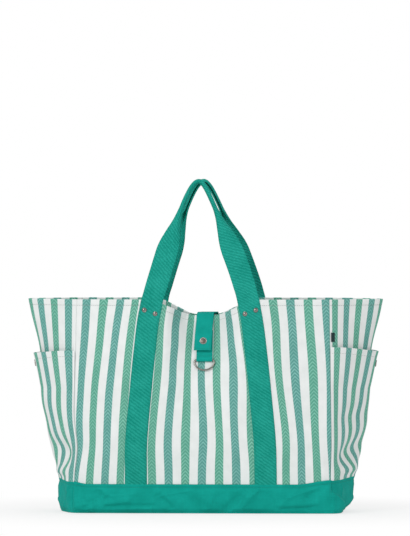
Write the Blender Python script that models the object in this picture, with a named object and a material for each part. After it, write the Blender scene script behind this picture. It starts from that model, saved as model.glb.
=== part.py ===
import math

import bmesh
import bpy
from mathutils import Matrix, Vector

for item in list(bpy.data.objects):
    bpy.data.objects.remove(item, do_unlink=True)

# Driving sizes in metres. The front faces -Y and the bag stands on z = 0.
BODY_HEIGHT = 0.374        # floor to rim at the sides
RIM_DIP = 0.029            # how far the closing tab draws the rim down
RIM_DIP_FLAT = 0.012
RIM_DIP_END = 0.100
BASE_HALF_WIDTH = 0.229    # seam to centre
RIM_HALF_WIDTH = 0.222
BASE_HALF_DEPTH = 0.100
RIM_HALF_DEPTH = 0.085     # where the straps leave the rim
SEAM_DRAW_IN = 0.010       # the rim's corners stand this much less deep
PANEL_BULGE = 0.006
BASE_NOSE = 0.250          # gusset fold to centre, at the floor
RIM_NOSE = 0.311
NOSE_ROUND = 0.30
PINCH_HALF_DEPTH = 0.036   # front rim to mid plane under the tab
PINCH_FLAT = 0.018
PINCH_END = 0.070
PINCH_START = 0.35         # share of the height where the pinch starts
PINCH_CURVE = 1.6

CANVAS = 0.0020            # canvas with its lining
LAYER_GAP = 0.0004         # clearance between sewn layers
SEAM_GAP = 0.0005
BASE_BAND = 0.050
BOTTOM_THICK = 0.0020
BOARD_THICK = 0.0025

WEBBING = 0.039
WEBBING_THICK = 0.0022
STRAP_BASE_X = 0.114
STRAP_RIM_X = 0.090
HINGE_RISE = 0.0030        # handle bend above the rim
HANDLE_REACH = 0.2235      # bend to the top edge of the grip
HANDLE_ROUND = 0.25
FRONT_PEAK_SHIFT = -0.012
BACK_PEAK_SHIFT = -0.003
GRIP_WIDTH = 0.012
GRIP_THICK = 0.008
FOLD_START = 0.098
FOLD_LENGTH = 0.056
HANDLE_GAP = 0.0004        # between the two grips and their mid plane

RIVET_BELOW_RIM = 0.022
RIVET_SPREAD = 0.0105
RIVET_HEAD = 0.0042
RIVET_DOME = 0.0016
SHANK = 0.0015
BURR = 0.0036
BURR_THICK = 0.0011
HOLE_CLEAR = 0.0004
SEAT_CLEAR = 0.0003

TAB_WIDTH = 0.030
TAB_THICK = 0.0020
TAB_END_Z = 0.284
TAB_ROOT_LENGTH = 0.045
SNAP_Z = 0.300
RING_TAB_TOP_Z = 0.318
RING_TAB_THICK = 0.0010
RING_BAR_Z = 0.2665
RING_HALF_WIDTH = 0.0172
RING_DROP = 0.0185
RING_WIRE = 0.0015

SNAP_HEAD = 0.00625
SNAP_DOME = 0.0018
SOCKET = 0.0052
SOCKET_BORE = 0.0031
SOCKET_HEIGHT = 0.0022
SOCKET_WEB = 0.0009
STUD = 0.0026
STUD_BASE = 0.0008
STUD_HEIGHT = 0.0022
SNAP_PLAY = 0.0004
SNAP_GAP = STUD_HEIGHT + SOCKET_HEIGHT - SOCKET_WEB + SNAP_PLAY + 2 * SEAT_CLEAR

POCKET_TOP_Z = 0.286
POCKET_SNAP_BELOW = 0.025
POCKET_SPRUNG = 0.071      # height over which the mouth stands off
POCKET_DISH = 0.0014       # extra room where the snap sits in the curved cloth

LABEL_Z = 0.308
LABEL_HEIGHT = 0.016
LABEL_WIDTH = 0.006
LABEL_THICK = 0.0006

HALF = CANVAS / 2
SECOND = HALF + LAYER_GAP                  # inner face of a second layer
panel_foot = BOTTOM_THICK + LAYER_GAP
STEP = 0.00005


def smooth(v):
    v = min(max(v, 0.0), 1.0)
    return v * v * (3 - 2 * v)


def mix(a, b, t):
    return a + (b - a) * t


def steps(a, b, count):
    return [mix(a, b, k / (count - 1)) for k in range(count)]


def make_material(name, colour, roughness, metallic=0.0):
    made = bpy.data.materials.new(name)
    made.use_nodes = True
    shader = made.node_tree.nodes["Principled BSDF"]
    shader.inputs["Base Color"].default_value = (*colour, 1)
    shader.inputs["Roughness"].default_value = roughness
    shader.inputs["Metallic"].default_value = metallic
    return made


striped_canvas = make_material("striped_canvas", (0.62, 0.78, 0.72), 0.85)
green_canvas = make_material("green_canvas", (0.010, 0.35, 0.25), 0.8)
green_webbing = make_material("green_webbing", (0.010, 0.36, 0.27), 0.75)
grey_board = make_material("grey_board", (0.30, 0.28, 0.25), 0.8)
nickel = make_material("nickel", (0.55, 0.52, 0.47), 0.3, 1.0)
dark_label = make_material("dark_label", (0.03, 0.07, 0.08), 0.7)

bag = bpy.data.objects.new("bag", None)
bpy.context.collection.objects.link(bag)


def add_object(name, mesh_build, material, parent=bag, matrix=None):
    bmesh.ops.recalc_face_normals(mesh_build, faces=mesh_build.faces)
    mesh = bpy.data.meshes.new(name)
    mesh_build.to_mesh(mesh)
    mesh_build.free()
    made = bpy.data.objects.new(name, mesh)
    bpy.context.collection.objects.link(made)
    made.parent = parent
    if matrix is not None:
        made.matrix_basis = matrix
    if material is not None:
        mesh.materials.append(material)
    return made


# The bag's skin: one front and one right gusset, turned for the other sides.
def seam_x(z):
    return mix(BASE_HALF_WIDTH, RIM_HALF_WIDTH, z / BODY_HEIGHT)


def nose_x(z):
    return BASE_NOSE + (RIM_NOSE - BASE_NOSE) * max(z / BODY_HEIGHT, 0.0) ** 0.85


def rim_z(x):
    share = (abs(x) - RIM_DIP_FLAT) / (RIM_DIP_END - RIM_DIP_FLAT)
    return BODY_HEIGHT - RIM_DIP * (1 - smooth(share))


def depth_at(x, z):
    t = z / BODY_HEIGHT
    edge = seam_x(z)
    side = smooth((x - PINCH_END) / (edge - PINCH_END))
    rim = RIM_HALF_DEPTH - SEAM_DRAW_IN * side
    depth = mix(BASE_HALF_DEPTH, rim, t)
    depth += PANEL_BULGE * math.sin(math.pi * min(t, 1.0)) * (1 - (x / edge) ** 4)
    pulled = max((z / (BODY_HEIGHT - RIM_DIP) - PINCH_START) / (1 - PINCH_START), 0.0) ** PINCH_CURVE
    inside = 1 - smooth((x - PINCH_FLAT) / (PINCH_END - PINCH_FLAT))
    return depth - (RIM_HALF_DEPTH - PINCH_HALF_DEPTH) * pulled * inside


def front_skin(x, z):
    return Vector((x, -depth_at(abs(x), z), z))


def side_skin(q, z):
    half = depth_at(seam_x(z), z)
    top = math.sqrt(1 + NOSE_ROUND ** 2)
    fold = (top - math.sqrt(q * q + NOSE_ROUND ** 2)) / (top - NOSE_ROUND)
    return Vector((mix(seam_x(z), nose_x(z), fold), q * half, z))


def skin_normal(skin, u, z):
    across = skin(u + STEP, z) - skin(u - STEP, z)
    up = skin(u, z + STEP) - skin(u, z - STEP)
    out = across.cross(up).normalized()
    out.z *= smooth((z - panel_foot) / BASE_BAND)
    return out.normalized()


def seam_mitre(z):
    a = skin_normal(front_skin, seam_x(z), z)
    b = skin_normal(side_skin, -1.0, z)
    return (a + b) / (1 + a.dot(b))


def lift(skin, u, z, height):
    if skin is front_skin and abs(u) > seam_x(z) - 2 * SEAM_GAP:
        out = seam_mitre(z)
        out.x *= math.copysign(1, u)
    elif skin is side_skin and abs(u) > 1 - 2 * SEAM_GAP / BASE_HALF_DEPTH:
        out = seam_mitre(z)
        out.y *= -math.copysign(1, u)
    else:
        out = skin_normal(skin, u, z)
    return skin(u, z) + out * height


def turned(point, flip):
    return Vector((point.x * flip[0], point.y * flip[1], point.z))


def grid_solid(lower, upper):
    # Closes two matching grids of points into one sheet.
    made = bmesh.new()
    low = [[made.verts.new(p) for p in row] for row in lower]
    high = [[made.verts.new(p) for p in row] for row in upper]
    rows = len(low) - 1
    columns = len(low[0]) - 1
    for j in range(rows):
        for i in range(columns):
            for side in (low, high):
                made.faces.new((side[j][i], side[j][i + 1], side[j + 1][i + 1], side[j + 1][i]))
    for i in range(columns):
        for j in (0, rows):
            made.faces.new((low[j][i], low[j][i + 1], high[j][i + 1], high[j][i]))
    for j in range(rows):
        for i in (0, columns):
            made.faces.new((low[j][i], low[j + 1][i], high[j + 1][i], high[j][i]))
    return made


def skin_sheet(name, skin, grid, inner, outer, flip, material):
    # grid holds (u, z) pairs, inner and outer give the two faces' heights off the skin.
    lower = [[turned(lift(skin, u, z, inner(u, z)), flip) for u, z in row] for row in grid]
    upper = [[turned(lift(skin, u, z, outer(u, z)), flip) for u, z in row] for row in grid]
    return add_object(name, grid_solid(lower, upper), material)


def flat(value):
    return lambda u, z: value


def lathe(name, profile, material, matrix, ring=False, segments=14, parent=bag):
    # Turns (radius, height) pairs about the local Z axis.
    made = bmesh.new()
    loops = []
    for radius, height in profile:
        if radius < 1e-7:
            loops.append([made.verts.new((0, 0, height))])
            continue
        turn = [2 * math.pi * k / segments for k in range(segments)]
        loops.append([made.verts.new((radius * math.cos(a), radius * math.sin(a), height)) for a in turn])
    pairs = list(zip(loops, loops[1:]))
    if ring:
        pairs.append((loops[-1], loops[0]))
    for a, b in pairs:
        for k in range(segments):
            n = (k + 1) % segments
            corners = [a[k % len(a)], a[n % len(a)], b[n % len(b)], b[k % len(b)]]
            made.faces.new(list(dict.fromkeys(corners)))
    return add_object(name, made, material, parent, matrix)


def facing(point, axis):
    return Matrix.Translation(point) @ axis.to_track_quat("Z", "Y").to_matrix().to_4x4()


def hole_cutter(name, places, radius, length):
    made = bmesh.new()
    for place in places:
        bmesh.ops.create_cone(made, cap_ends=True, segments=16, radius1=radius, radius2=radius,
                              depth=length, matrix=place)
    cutter = add_object(name, made, None)
    cutter.hide_render = True
    cutter.display_type = "WIRE"
    return cutter


def cut(target, cutter):
    hole = target.modifiers.new("holes", "BOOLEAN")
    hole.operation = "DIFFERENCE"
    hole.solver = "EXACT"
    hole.object = cutter


# Front and back panels, from the bottom to the hemmed rim.
half_columns = steps(0, PINCH_FLAT, 3) + steps(PINCH_FLAT, PINCH_END, 8)[1:]
beyond_pinch = steps(0, 1, 8)[1:]


def panel_column(k, z):
    count = len(half_columns)
    side = math.copysign(1, k)
    k = abs(k)
    if k < count:
        return side * half_columns[k]
    edge = seam_x(z) - SEAM_GAP / 2
    return side * mix(PINCH_END, edge, beyond_pinch[k - count])


def panel_grid(low, high_at, rows):
    last = len(half_columns) + len(beyond_pinch) - 1
    grid = []
    for share in steps(0, 1, rows):
        row = []
        for k in range(-last, last + 1):
            top = high_at(panel_column(k, BODY_HEIGHT))
            z = mix(low, top, share)
            row.append((panel_column(k, z), z))
        grid.append(row)
    return grid


def side_grid(low, high, rows, columns):
    grid = []
    for z in steps(low, high, rows):
        end = 1 - SEAM_GAP / 2 / depth_at(seam_x(z), z)
        grid.append([(q, z) for q in steps(-end, end, columns)])
    return grid


ends = {"front": (1, 1), "back": (1, -1)}
sides = {"right": (1, 1), "left": (-1, 1)}
panels = {}
gussets = {}
for end, flip in ends.items():
    panels[end] = skin_sheet(end + "_panel", front_skin, panel_grid(panel_foot, rim_z, 13),
                             flat(-HALF), flat(HALF), flip, striped_canvas)
for side, flip in sides.items():
    gussets[side] = skin_sheet(side + "_gusset", side_skin, side_grid(panel_foot, BODY_HEIGHT, 13, 17),
                               flat(-HALF), flat(HALF), flip, striped_canvas)

# Solid green base: four bands seamed at the corners, a bottom and a board inside.
for end, flip in ends.items():
    skin_sheet(end + "_base_band", front_skin, panel_grid(panel_foot, lambda x: BASE_BAND, 3),
               flat(SECOND), flat(SECOND + CANVAS), flip, green_canvas)
for side, flip in sides.items():
    skin_sheet(side + "_base_band", side_skin, side_grid(panel_foot, BASE_BAND, 3, 17),
               flat(SECOND), flat(SECOND + CANVAS), flip, green_canvas)


def floor_outline(z, height):
    right = [lift(side_skin, q, z, height) for q in steps(-1, 1, 17)]
    left = [Vector((-p.x, p.y, p.z)) for p in reversed(right)]
    return [(p.x, p.y) for p in right + left]


def floor_plate(name, outline, low, high, material):
    made = bmesh.new()
    bottom = [made.verts.new((x, y, low)) for x, y in outline]
    top = [made.verts.new((x, y, high)) for x, y in outline]
    count = len(outline)
    for k in range(count):
        n = (k + 1) % count
        made.faces.new((bottom[k], bottom[n], top[n], top[k]))
    made.faces.new(bottom)
    made.faces.new(top)
    return add_object(name, made, material)


floor_plate("bottom_panel", floor_outline(panel_foot, SECOND + CANVAS), 0, BOTTOM_THICK, green_canvas)
floor_plate("base_board", floor_outline(panel_foot, -SECOND), panel_foot, panel_foot + BOARD_THICK, grey_board)

# Slip pockets over the gussets: sewn into the seams, standing off at the mouth.
pocket_foot = BASE_BAND + SEAM_GAP
pocket_snap_z = POCKET_TOP_Z - POCKET_SNAP_BELOW
snap_stand = SNAP_GAP + POCKET_DISH


def pocket_gape(q, z):
    start = POCKET_TOP_Z - POCKET_SPRUNG
    rise = max(z - start, 0.0) / (pocket_snap_z - start)
    return max(snap_stand * rise * (1 - q * q) ** 0.5, LAYER_GAP)


def pocket_inner(q, z):
    return HALF + pocket_gape(q, z)


def pocket_outer(q, z):
    return pocket_inner(q, z) + CANVAS


pockets = {}
for side, flip in sides.items():
    pockets[side] = skin_sheet(side + "_pocket", side_skin, side_grid(pocket_foot, POCKET_TOP_Z, 12, 17),
                               pocket_inner, pocket_outer, flip, striped_canvas)

# Straps sewn down the panels, each ending in a round edge under its handle.
hinge_z = BODY_HEIGHT + HINGE_RISE
strap_mid = SECOND + WEBBING_THICK / 2
strap_half = WEBBING_THICK / 2
strap_end = hinge_z - strap_half - LAYER_GAP
strap_foot = BASE_BAND + SEAM_GAP


def strap_x(z):
    return mix(STRAP_BASE_X, STRAP_RIM_X, z / hinge_z)


def strap_thin(z):
    past = max(z - (strap_end - strap_half), 0.0) / strap_half
    return strap_half * math.sqrt(max(1 - past * past, 0.02))


strap_rows = steps(strap_foot, strap_end - strap_half, 14)
strap_rows += [strap_end - strap_half * (1 - math.sin(math.radians(a))) for a in (30, 60, 85)]
strap_grid = [[(strap_x(z) + WEBBING * k, z) for k in steps(-0.5, 0.5, 5)] for z in strap_rows]
straps = {}
for end, flip in ends.items():
    for side, across in (("left", -1), ("right", 1)):
        straps[end, side] = skin_sheet(end + "_" + side + "_strap", front_skin, strap_grid,
                                       lambda u, z: strap_mid - strap_thin(z),
                                       lambda u, z: strap_mid + strap_thin(z),
                                       (across, flip[1]), green_webbing)

# Handles: flat webbing legs that fold in half into a stitched grip.
hinge_y = -lift(front_skin, STRAP_RIM_X, hinge_z, strap_mid).y
grip_reach = math.hypot(HANDLE_REACH, GRIP_THICK / 2)
handle_lean = math.asin((hinge_y - HANDLE_GAP) / grip_reach) - math.atan2(GRIP_THICK / 2, HANDLE_REACH)
handle_rise = HANDLE_REACH - GRIP_WIDTH / 2


def handle_centre(s, shift):
    top = math.sqrt(1 + HANDLE_ROUND ** 2)
    fall = (math.sqrt(s * s + HANDLE_ROUND ** 2) - HANDLE_ROUND) / (top - HANDLE_ROUND)
    rise = handle_rise * (1 - fall)
    return Vector((STRAP_RIM_X * s + shift * smooth(rise / handle_rise), 0, rise))


def handle_sections(shift):
    sections = []
    for k in range(57):
        s = -math.cos(math.pi * k / 56)
        s = mix(s, 2 * k / 56 - 1, 0.7)
        here = handle_centre(s, shift)
        along = (handle_centre(min(s + 0.001, 1), shift) - handle_centre(max(s - 0.001, -1), shift)).normalized()
        flat_on = Vector((-1, 0, 0)) if s < 0 else Vector((1, 0, 0))
        across = Vector((-along.z, 0, along.x))
        if across.dot(flat_on) < 0 and abs(s) > 0.3:
            across = -across
        squared = 1 - smooth(here.z / (WEBBING * 0.9))
        folded = smooth((here.z - FOLD_START) / FOLD_LENGTH)
        across = (across * (1 - squared) + flat_on * squared).normalized()
        sections.append((here, across, mix(WEBBING, GRIP_WIDTH, folded) / 2,
                         mix(WEBBING_THICK, GRIP_THICK, folded) / 2, folded))
    return sections


def handle_ring(here, across, wide, thick, folded):
    # Eight points: a flat strip with softened edges that turns into a round roll.
    corner = mix(0.94, 0.62, folded)
    out = Vector((0, 1, 0))
    shape = ((1, -0.5), (1, 0.5), (corner, 1), (-corner, 1), (-1, 0.5), (-1, -0.5), (-corner, -1), (corner, -1))
    return [here + across * wide * a + out * thick * b for a, b in shape]


def build_handle(name, shift, flip):
    sections = handle_sections(shift)
    rings = [handle_ring(*section) for section in sections]
    start = []
    finish = []
    for turn in (80, 55, 28):
        for row, section in ((start, sections[0]), (finish, sections[-1])):
            here, across, wide, thick, folded = section
            down = here - Vector((0, 0, thick * math.sin(math.radians(turn))))
            row.append(handle_ring(down, across, wide, thick * math.cos(math.radians(turn)), folded))
    rings = start + rings + list(reversed(finish))
    made = bmesh.new()
    loops = [[made.verts.new(p) for p in ring] for ring in rings]
    for a, b in zip(loops, loops[1:]):
        for k in range(8):
            n = (k + 1) % 8
            made.faces.new((a[k], a[n], b[n], b[k]))
    made.faces.new(loops[0])
    made.faces.new(loops[-1])
    lean = Matrix.Rotation(-handle_lean * flip[1], 4, "X")
    place = Matrix.Translation((0, -hinge_y * flip[1], hinge_z)) @ lean
    return add_object(name, made, green_webbing, bag, place)


build_handle("front_handle", FRONT_PEAK_SHIFT, ends["front"])
build_handle("back_handle", BACK_PEAK_SHIFT, ends["back"])

# Rivets through each strap and panel, just under the rim.
rivet_seat = SECOND + WEBBING_THICK + SEAT_CLEAR
burr_face = -HALF - SEAT_CLEAR
rivet_head = [(0, rivet_seat + RIVET_DOME)]
rivet_head += [(RIVET_HEAD * math.sin(a), rivet_seat + RIVET_DOME * math.cos(a)) for a in (0.45, 0.9, 1.3)]
rivet_head += [(RIVET_HEAD, rivet_seat), (SHANK, rivet_seat)]
rivet_head += [(SHANK, burr_face - BURR_THICK - SEAT_CLEAR), (0, burr_face - BURR_THICK - SEAT_CLEAR)]
bore = SHANK + HOLE_CLEAR
burr = [(bore, burr_face), (BURR, burr_face), (BURR, burr_face - BURR_THICK), (bore, burr_face - BURR_THICK)]
hole_length = 4 * (rivet_seat + WEBBING_THICK)
rivet_z = hinge_z - HINGE_RISE - RIVET_BELOW_RIM


def skin_place(skin, u, z, flip):
    axis = turned(skin_normal(skin, u, z), flip)
    return facing(turned(skin(u, z), flip), axis)


panel_holes = {"front": [], "back": []}
for end, flip in ends.items():
    for side, across in (("left", -1), ("right", 1)):
        for spot, reach in (("inner", -RIVET_SPREAD), ("outer", RIVET_SPREAD)):
            place = skin_place(front_skin, strap_x(rivet_z) + reach, rivet_z, (across, flip[1]))
            tag = end + "_" + side + "_" + spot
            lathe(tag + "_rivet", rivet_head, nickel, place, segments=12)
            lathe(tag + "_rivet_burr", burr, nickel, place, ring=True, segments=12)
            panel_holes[end].append(place)


def snap_cap(name, outer_face, inner_face, matrix, parent):
    # Domed cap on the outside, with the shank that carries the socket.
    seat = outer_face + SEAT_CLEAR
    foot = inner_face - SEAT_CLEAR - SOCKET_WEB
    profile = [(0, seat + SNAP_DOME)]
    profile += [(SNAP_HEAD * math.sin(a), seat + SNAP_DOME * math.cos(a)) for a in (0.4, 0.8, 1.2)]
    profile += [(SNAP_HEAD, seat), (SHANK, seat), (SHANK, foot), (0, foot)]
    return lathe(name, profile, nickel, matrix, parent=parent)


def snap_socket(name, face, matrix, parent):
    low = face - SOCKET_HEIGHT
    web = face - SOCKET_WEB
    profile = [(bore, face), (SOCKET, face), (SOCKET, low), (SOCKET_BORE, low), (SOCKET_BORE, web), (bore, web)]
    return lathe(name, profile, nickel, matrix, ring=True, parent=parent)


def snap_stud(name, seat, foot, matrix):
    top = seat + STUD_HEIGHT
    base = seat + STUD_BASE
    profile = [(0, top), (STUD * 0.8, top), (STUD, top - STUD_BASE / 2), (STUD * 0.85, base)]
    profile += [(SOCKET, base), (SOCKET, seat), (SHANK, seat), (SHANK, foot), (0, foot)]
    return lathe(name, profile, nickel, matrix)


def snap_back(name, face, matrix):
    low = face - BURR_THICK
    profile = [(bore, face), (SOCKET, face), (SOCKET, low), (bore, low)]
    return lathe(name, profile, nickel, matrix, ring=True)


# Pocket snaps on the fold of each gusset.
for side, flip in sides.items():
    place = skin_place(side_skin, 0.0, pocket_snap_z, flip)
    mouth = HALF + snap_stand
    socket_face = mouth - SEAT_CLEAR - POCKET_DISH
    back_face = -HALF - SEAT_CLEAR - POCKET_DISH
    snap_cap(side + "_pocket_snap_cap", mouth + CANVAS + POCKET_DISH / 2, socket_face + SEAT_CLEAR, place, bag)
    snap_socket(side + "_pocket_snap_socket", socket_face, place, bag)
    snap_stud(side + "_pocket_snap_stud", HALF + SEAT_CLEAR, back_face - BURR_THICK - SEAT_CLEAR, place)
    snap_back(side + "_pocket_snap_back", back_face, place)
    cutter = hole_cutter(side + "_snap_holes", [place], bore, 4 * (mouth + CANVAS))
    cut(gussets[side], cutter)
    cut(pockets[side], cutter)

# Ring tab: a strip folded round the ring's bar and sewn to the front panel.
tab_half = TAB_WIDTH / 2
ring_half = RING_TAB_THICK / 2
inner_ply = SECOND + ring_half
outer_ply = inner_ply + RING_TAB_THICK + LAYER_GAP
wrap = RING_WIRE + LAYER_GAP + ring_half
bar_height = inner_ply + wrap


def centre_at(z, height):
    return lift(front_skin, 0.0, z, height)


def strip_solid(path, thick, width):
    # A flat strip that follows a path in the YZ plane.
    lower = []
    upper = []
    for k, here in enumerate(path):
        ahead = path[min(k + 1, len(path) - 1)]
        behind = path[max(k - 1, 0)]
        along = (ahead - behind).normalized()
        side = Vector((0, -along.z, along.y)) * thick[k]
        lower.append([here - side + Vector((x, 0, 0)) for x in (-width, width)])
        upper.append([here + side + Vector((x, 0, 0)) for x in (-width, width)])
    return grid_solid(lower, upper)


bar_seat = front_skin(0.0, RING_BAR_Z)
bar_out = skin_normal(front_skin, 0.0, RING_BAR_Z)
bar_up = Vector((0, bar_out.z, -bar_out.y))
bar_centre = bar_seat + bar_out * bar_height
ring_path = [centre_at(z, inner_ply) for z in steps(RING_TAB_TOP_Z, RING_BAR_Z, 9)]
for turn in steps(20, 160, 8):
    a = math.radians(turn)
    ring_path.append(bar_centre - bar_out * wrap * math.cos(a) - bar_up * wrap * math.sin(a))
loop_height = bar_height + wrap
for share in steps(0, 1, 5):
    z = mix(RING_BAR_Z, RING_BAR_Z + 4 * wrap, share)
    ring_path.append(centre_at(z, mix(loop_height, outer_ply, smooth(share))))
ring_path += [centre_at(z, outer_ply) for z in steps(RING_BAR_Z + 4 * wrap, RING_TAB_TOP_Z, 7)[1:]]
ring_tab = add_object("ring_tab", strip_solid(ring_path, [ring_half] * len(ring_path), tab_half), green_webbing)

# D-ring: a straight bar closed by a bow, hinged on the bar.
ring_points = [Vector((x, 0, 0)) for x in steps(-RING_HALF_WIDTH * 0.8, RING_HALF_WIDTH * 0.8, 8)]
corner = RING_HALF_WIDTH * 0.2
for turn in steps(0, 90, 5):
    a = math.radians(turn)
    ring_points.append(Vector((RING_HALF_WIDTH - corner + corner * math.sin(a), 0, -corner + corner * math.cos(a))))
for turn in steps(0, 180, 17)[1:-1]:
    a = math.radians(turn)
    drop = RING_DROP - corner
    ring_points.append(Vector((RING_HALF_WIDTH * math.cos(a), 0, -corner - drop * math.sin(a))))
for turn in steps(90, 0, 5):
    a = math.radians(turn)
    ring_points.append(Vector((-RING_HALF_WIDTH + corner - corner * math.sin(a), 0, -corner + corner * math.cos(a))))
ring_points = [p for k, p in enumerate(ring_points) if (p - ring_points[k - 1]).length > 1e-5]


def wire_loop(points, radius, sides_count):
    made = bmesh.new()
    loops = []
    for k, here in enumerate(points):
        along = (points[(k + 1) % len(points)] - points[k - 1]).normalized()
        out = Vector((0, 1, 0))
        side = along.cross(out)
        turn = [2 * math.pi * n / sides_count for n in range(sides_count)]
        loops.append([made.verts.new(here + (out * math.cos(a) + side * math.sin(a)) * radius) for a in turn])
    for k, a in enumerate(loops):
        b = loops[(k + 1) % len(loops)]
        for n in range(sides_count):
            m = (n + 1) % sides_count
            made.faces.new((a[n], a[m], b[m], b[n]))
    return made


ring_tilt = math.atan2(bar_up.y, bar_up.z)
ring_place = Matrix.Translation(bar_centre) @ Matrix.Rotation(-ring_tilt, 4, "X")
add_object("d_ring", wire_loop(ring_points, RING_WIRE, 8), nickel, bag, ring_place)

# Closing tab: sewn to the back panel, hinged at its rim, snapped to the ring tab.
rim_centre = rim_z(0.0)
tab_thin = TAB_THICK / 2
tab_mid = SECOND + tab_thin
tab_hinge = centre_at(rim_centre, tab_mid)
tab_hinge = Vector((0, -tab_hinge.y, tab_hinge.z + HINGE_RISE))
root_top = centre_at(rim_centre, tab_mid)
root_path = [centre_at(z, tab_mid) for z in steps(rim_centre - TAB_ROOT_LENGTH, rim_centre, 8)]
root_path = [Vector((0, -p.y, p.z)) for p in root_path]
root_end = tab_hinge - (tab_hinge - root_path[-1]).normalized() * (2 * tab_thin + LAYER_GAP)
root_dir = (root_end - root_path[-1]).normalized()
root_path[-1] = root_end
root_thick = [tab_thin] * len(root_path)
for turn in (30, 60, 85):
    root_path.append(root_end + root_dir * tab_thin * math.sin(math.radians(turn)))
    root_thick.append(tab_thin * math.cos(math.radians(turn)))
add_object("closing_tab_root", strip_solid(root_path, root_thick, tab_half), green_webbing)

snap_face = outer_ply + ring_half
tab_over_snap = snap_face + SNAP_GAP + tab_thin


def tab_height(z):
    return mix(tab_mid, tab_over_snap, smooth((rim_centre - z) / (rim_centre - SNAP_Z - SOCKET)))


tab_front = [centre_at(z, tab_height(z)) for z in steps(rim_centre - 2 * tab_thin, TAB_END_Z, 14)]
shoulder = tab_front[0]
tab_over = [Vector((0, mix(tab_hinge.y, shoulder.y, k), mix(tab_hinge.z, shoulder.z + 2 * HINGE_RISE, smooth(k))))
            for k in steps(0, 0.84, 7)]
bend = tab_over[-1]
knee = Vector((0, shoulder.y - tab_thin / 2, shoulder.z + 1.7 * HINGE_RISE))
rounding = [bend * (1 - k) ** 2 + knee * 2 * k * (1 - k) + shoulder * k * k for k in (0.25, 0.5, 0.75)]
tab_path = tab_over + rounding + tab_front
tab_thick = [tab_thin] * len(tab_path)
start_dir = (tab_path[1] - tab_path[0]).normalized()
for turn in (28, 55, 80):
    tab_path.insert(0, tab_hinge - start_dir * tab_thin * math.sin(math.radians(turn)))
    tab_thick.insert(0, tab_thin * math.cos(math.radians(turn)))
tab_path = [p - tab_hinge for p in tab_path]
closing_tab = add_object("closing_tab", strip_solid(tab_path, tab_thick, tab_half), green_webbing,
                         bag, Matrix.Translation(tab_hinge))

snap_place = skin_place(front_skin, 0.0, SNAP_Z, (1, 1))
tab_local = Matrix.Translation(-tab_hinge) @ snap_place
snap_cap("closing_snap_cap", tab_over_snap + tab_thin, tab_over_snap - tab_thin, tab_local, closing_tab)
snap_socket("closing_snap_socket", tab_over_snap - tab_thin - SEAT_CLEAR, tab_local, closing_tab)
snap_stud("closing_snap_stud", snap_face + SEAT_CLEAR, burr_face - BURR_THICK - SEAT_CLEAR, snap_place)
snap_back("closing_snap_back", burr_face, snap_place)
panel_holes["front"].append(snap_place)

for end in ends:
    cutter = hole_cutter(end + "_holes", panel_holes[end], bore, hole_length)
    cut(panels[end], cutter)
    for side in ("left", "right"):
        cut(straps[end, side], cutter)
snap_cutter = hole_cutter("closing_snap_holes", [snap_place], bore, 4 * (tab_over_snap + TAB_THICK))
cut(ring_tab, snap_cutter)
cut(closing_tab, snap_cutter)

# Small bare label sewn into the right front seam.
label_start = -1 + 3 * SEAM_GAP / BASE_HALF_DEPTH
label_end = label_start + LABEL_WIDTH / BASE_HALF_DEPTH
label_rows = steps(LABEL_Z - LABEL_HEIGHT / 2, LABEL_Z + LABEL_HEIGHT / 2, 3)
label_grid = [[(q, z) for q in steps(label_start, label_end, 3)] for z in label_rows]
skin_sheet("side_label", side_skin, label_grid, flat(SECOND), flat(SECOND + LABEL_THICK), (1, 1), dark_label)
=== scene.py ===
import math

import bmesh
import bpy
import numpy as np
from mathutils import Matrix, Vector


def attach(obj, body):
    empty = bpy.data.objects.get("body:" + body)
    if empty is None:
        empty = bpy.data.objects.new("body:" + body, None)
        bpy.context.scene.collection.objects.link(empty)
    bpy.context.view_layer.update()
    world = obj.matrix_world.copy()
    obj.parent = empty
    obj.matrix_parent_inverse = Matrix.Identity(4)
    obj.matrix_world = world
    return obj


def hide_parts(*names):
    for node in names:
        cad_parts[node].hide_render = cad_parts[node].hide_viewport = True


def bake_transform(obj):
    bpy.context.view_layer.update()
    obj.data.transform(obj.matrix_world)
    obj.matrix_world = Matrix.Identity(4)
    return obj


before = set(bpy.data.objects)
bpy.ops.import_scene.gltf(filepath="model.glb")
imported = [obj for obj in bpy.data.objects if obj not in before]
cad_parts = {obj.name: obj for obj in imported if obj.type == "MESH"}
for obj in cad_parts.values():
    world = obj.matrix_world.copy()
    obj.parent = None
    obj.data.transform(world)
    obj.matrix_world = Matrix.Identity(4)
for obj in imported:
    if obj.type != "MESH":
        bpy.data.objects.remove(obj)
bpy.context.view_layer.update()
print("frame loaded")

# sizes of the sewn body, in metres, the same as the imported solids
body = dict(height=0.374, rimDip=0.029, dipFlat=0.012, dipEnd=0.100, baseHalfWidth=0.229, rimHalfWidth=0.222,
            baseHalfDepth=0.100, rimHalfDepth=0.085, seamDrawIn=0.010, bulge=0.006, baseNose=0.250,
            rimNose=0.311, noseRound=0.30, pinchHalfDepth=0.036, pinchFlat=0.018, pinchEnd=0.070,
            pinchStart=0.35, pinchCurve=1.6, foot=0.0024, bandTop=0.050, canvas=0.0020, layerGap=0.0004)
half = body["canvas"] / 2
second = half + body["layerGap"]          # inner face of a second layer
seamGap = 0.0005                          # open width between two sewn edges
mitreRun = dict(front=0.003, side=0.03)   # how near a seam the outward direction turns into its mitre


def mix(a, b, t):
    return a + (b - a) * t


def smooth(v):
    v = np.clip(v, 0.0, 1.0)
    return v * v * (3 - 2 * v)


def hill(v, centre, width):
    return np.exp(-((v - centre) / width) ** 2)


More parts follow.
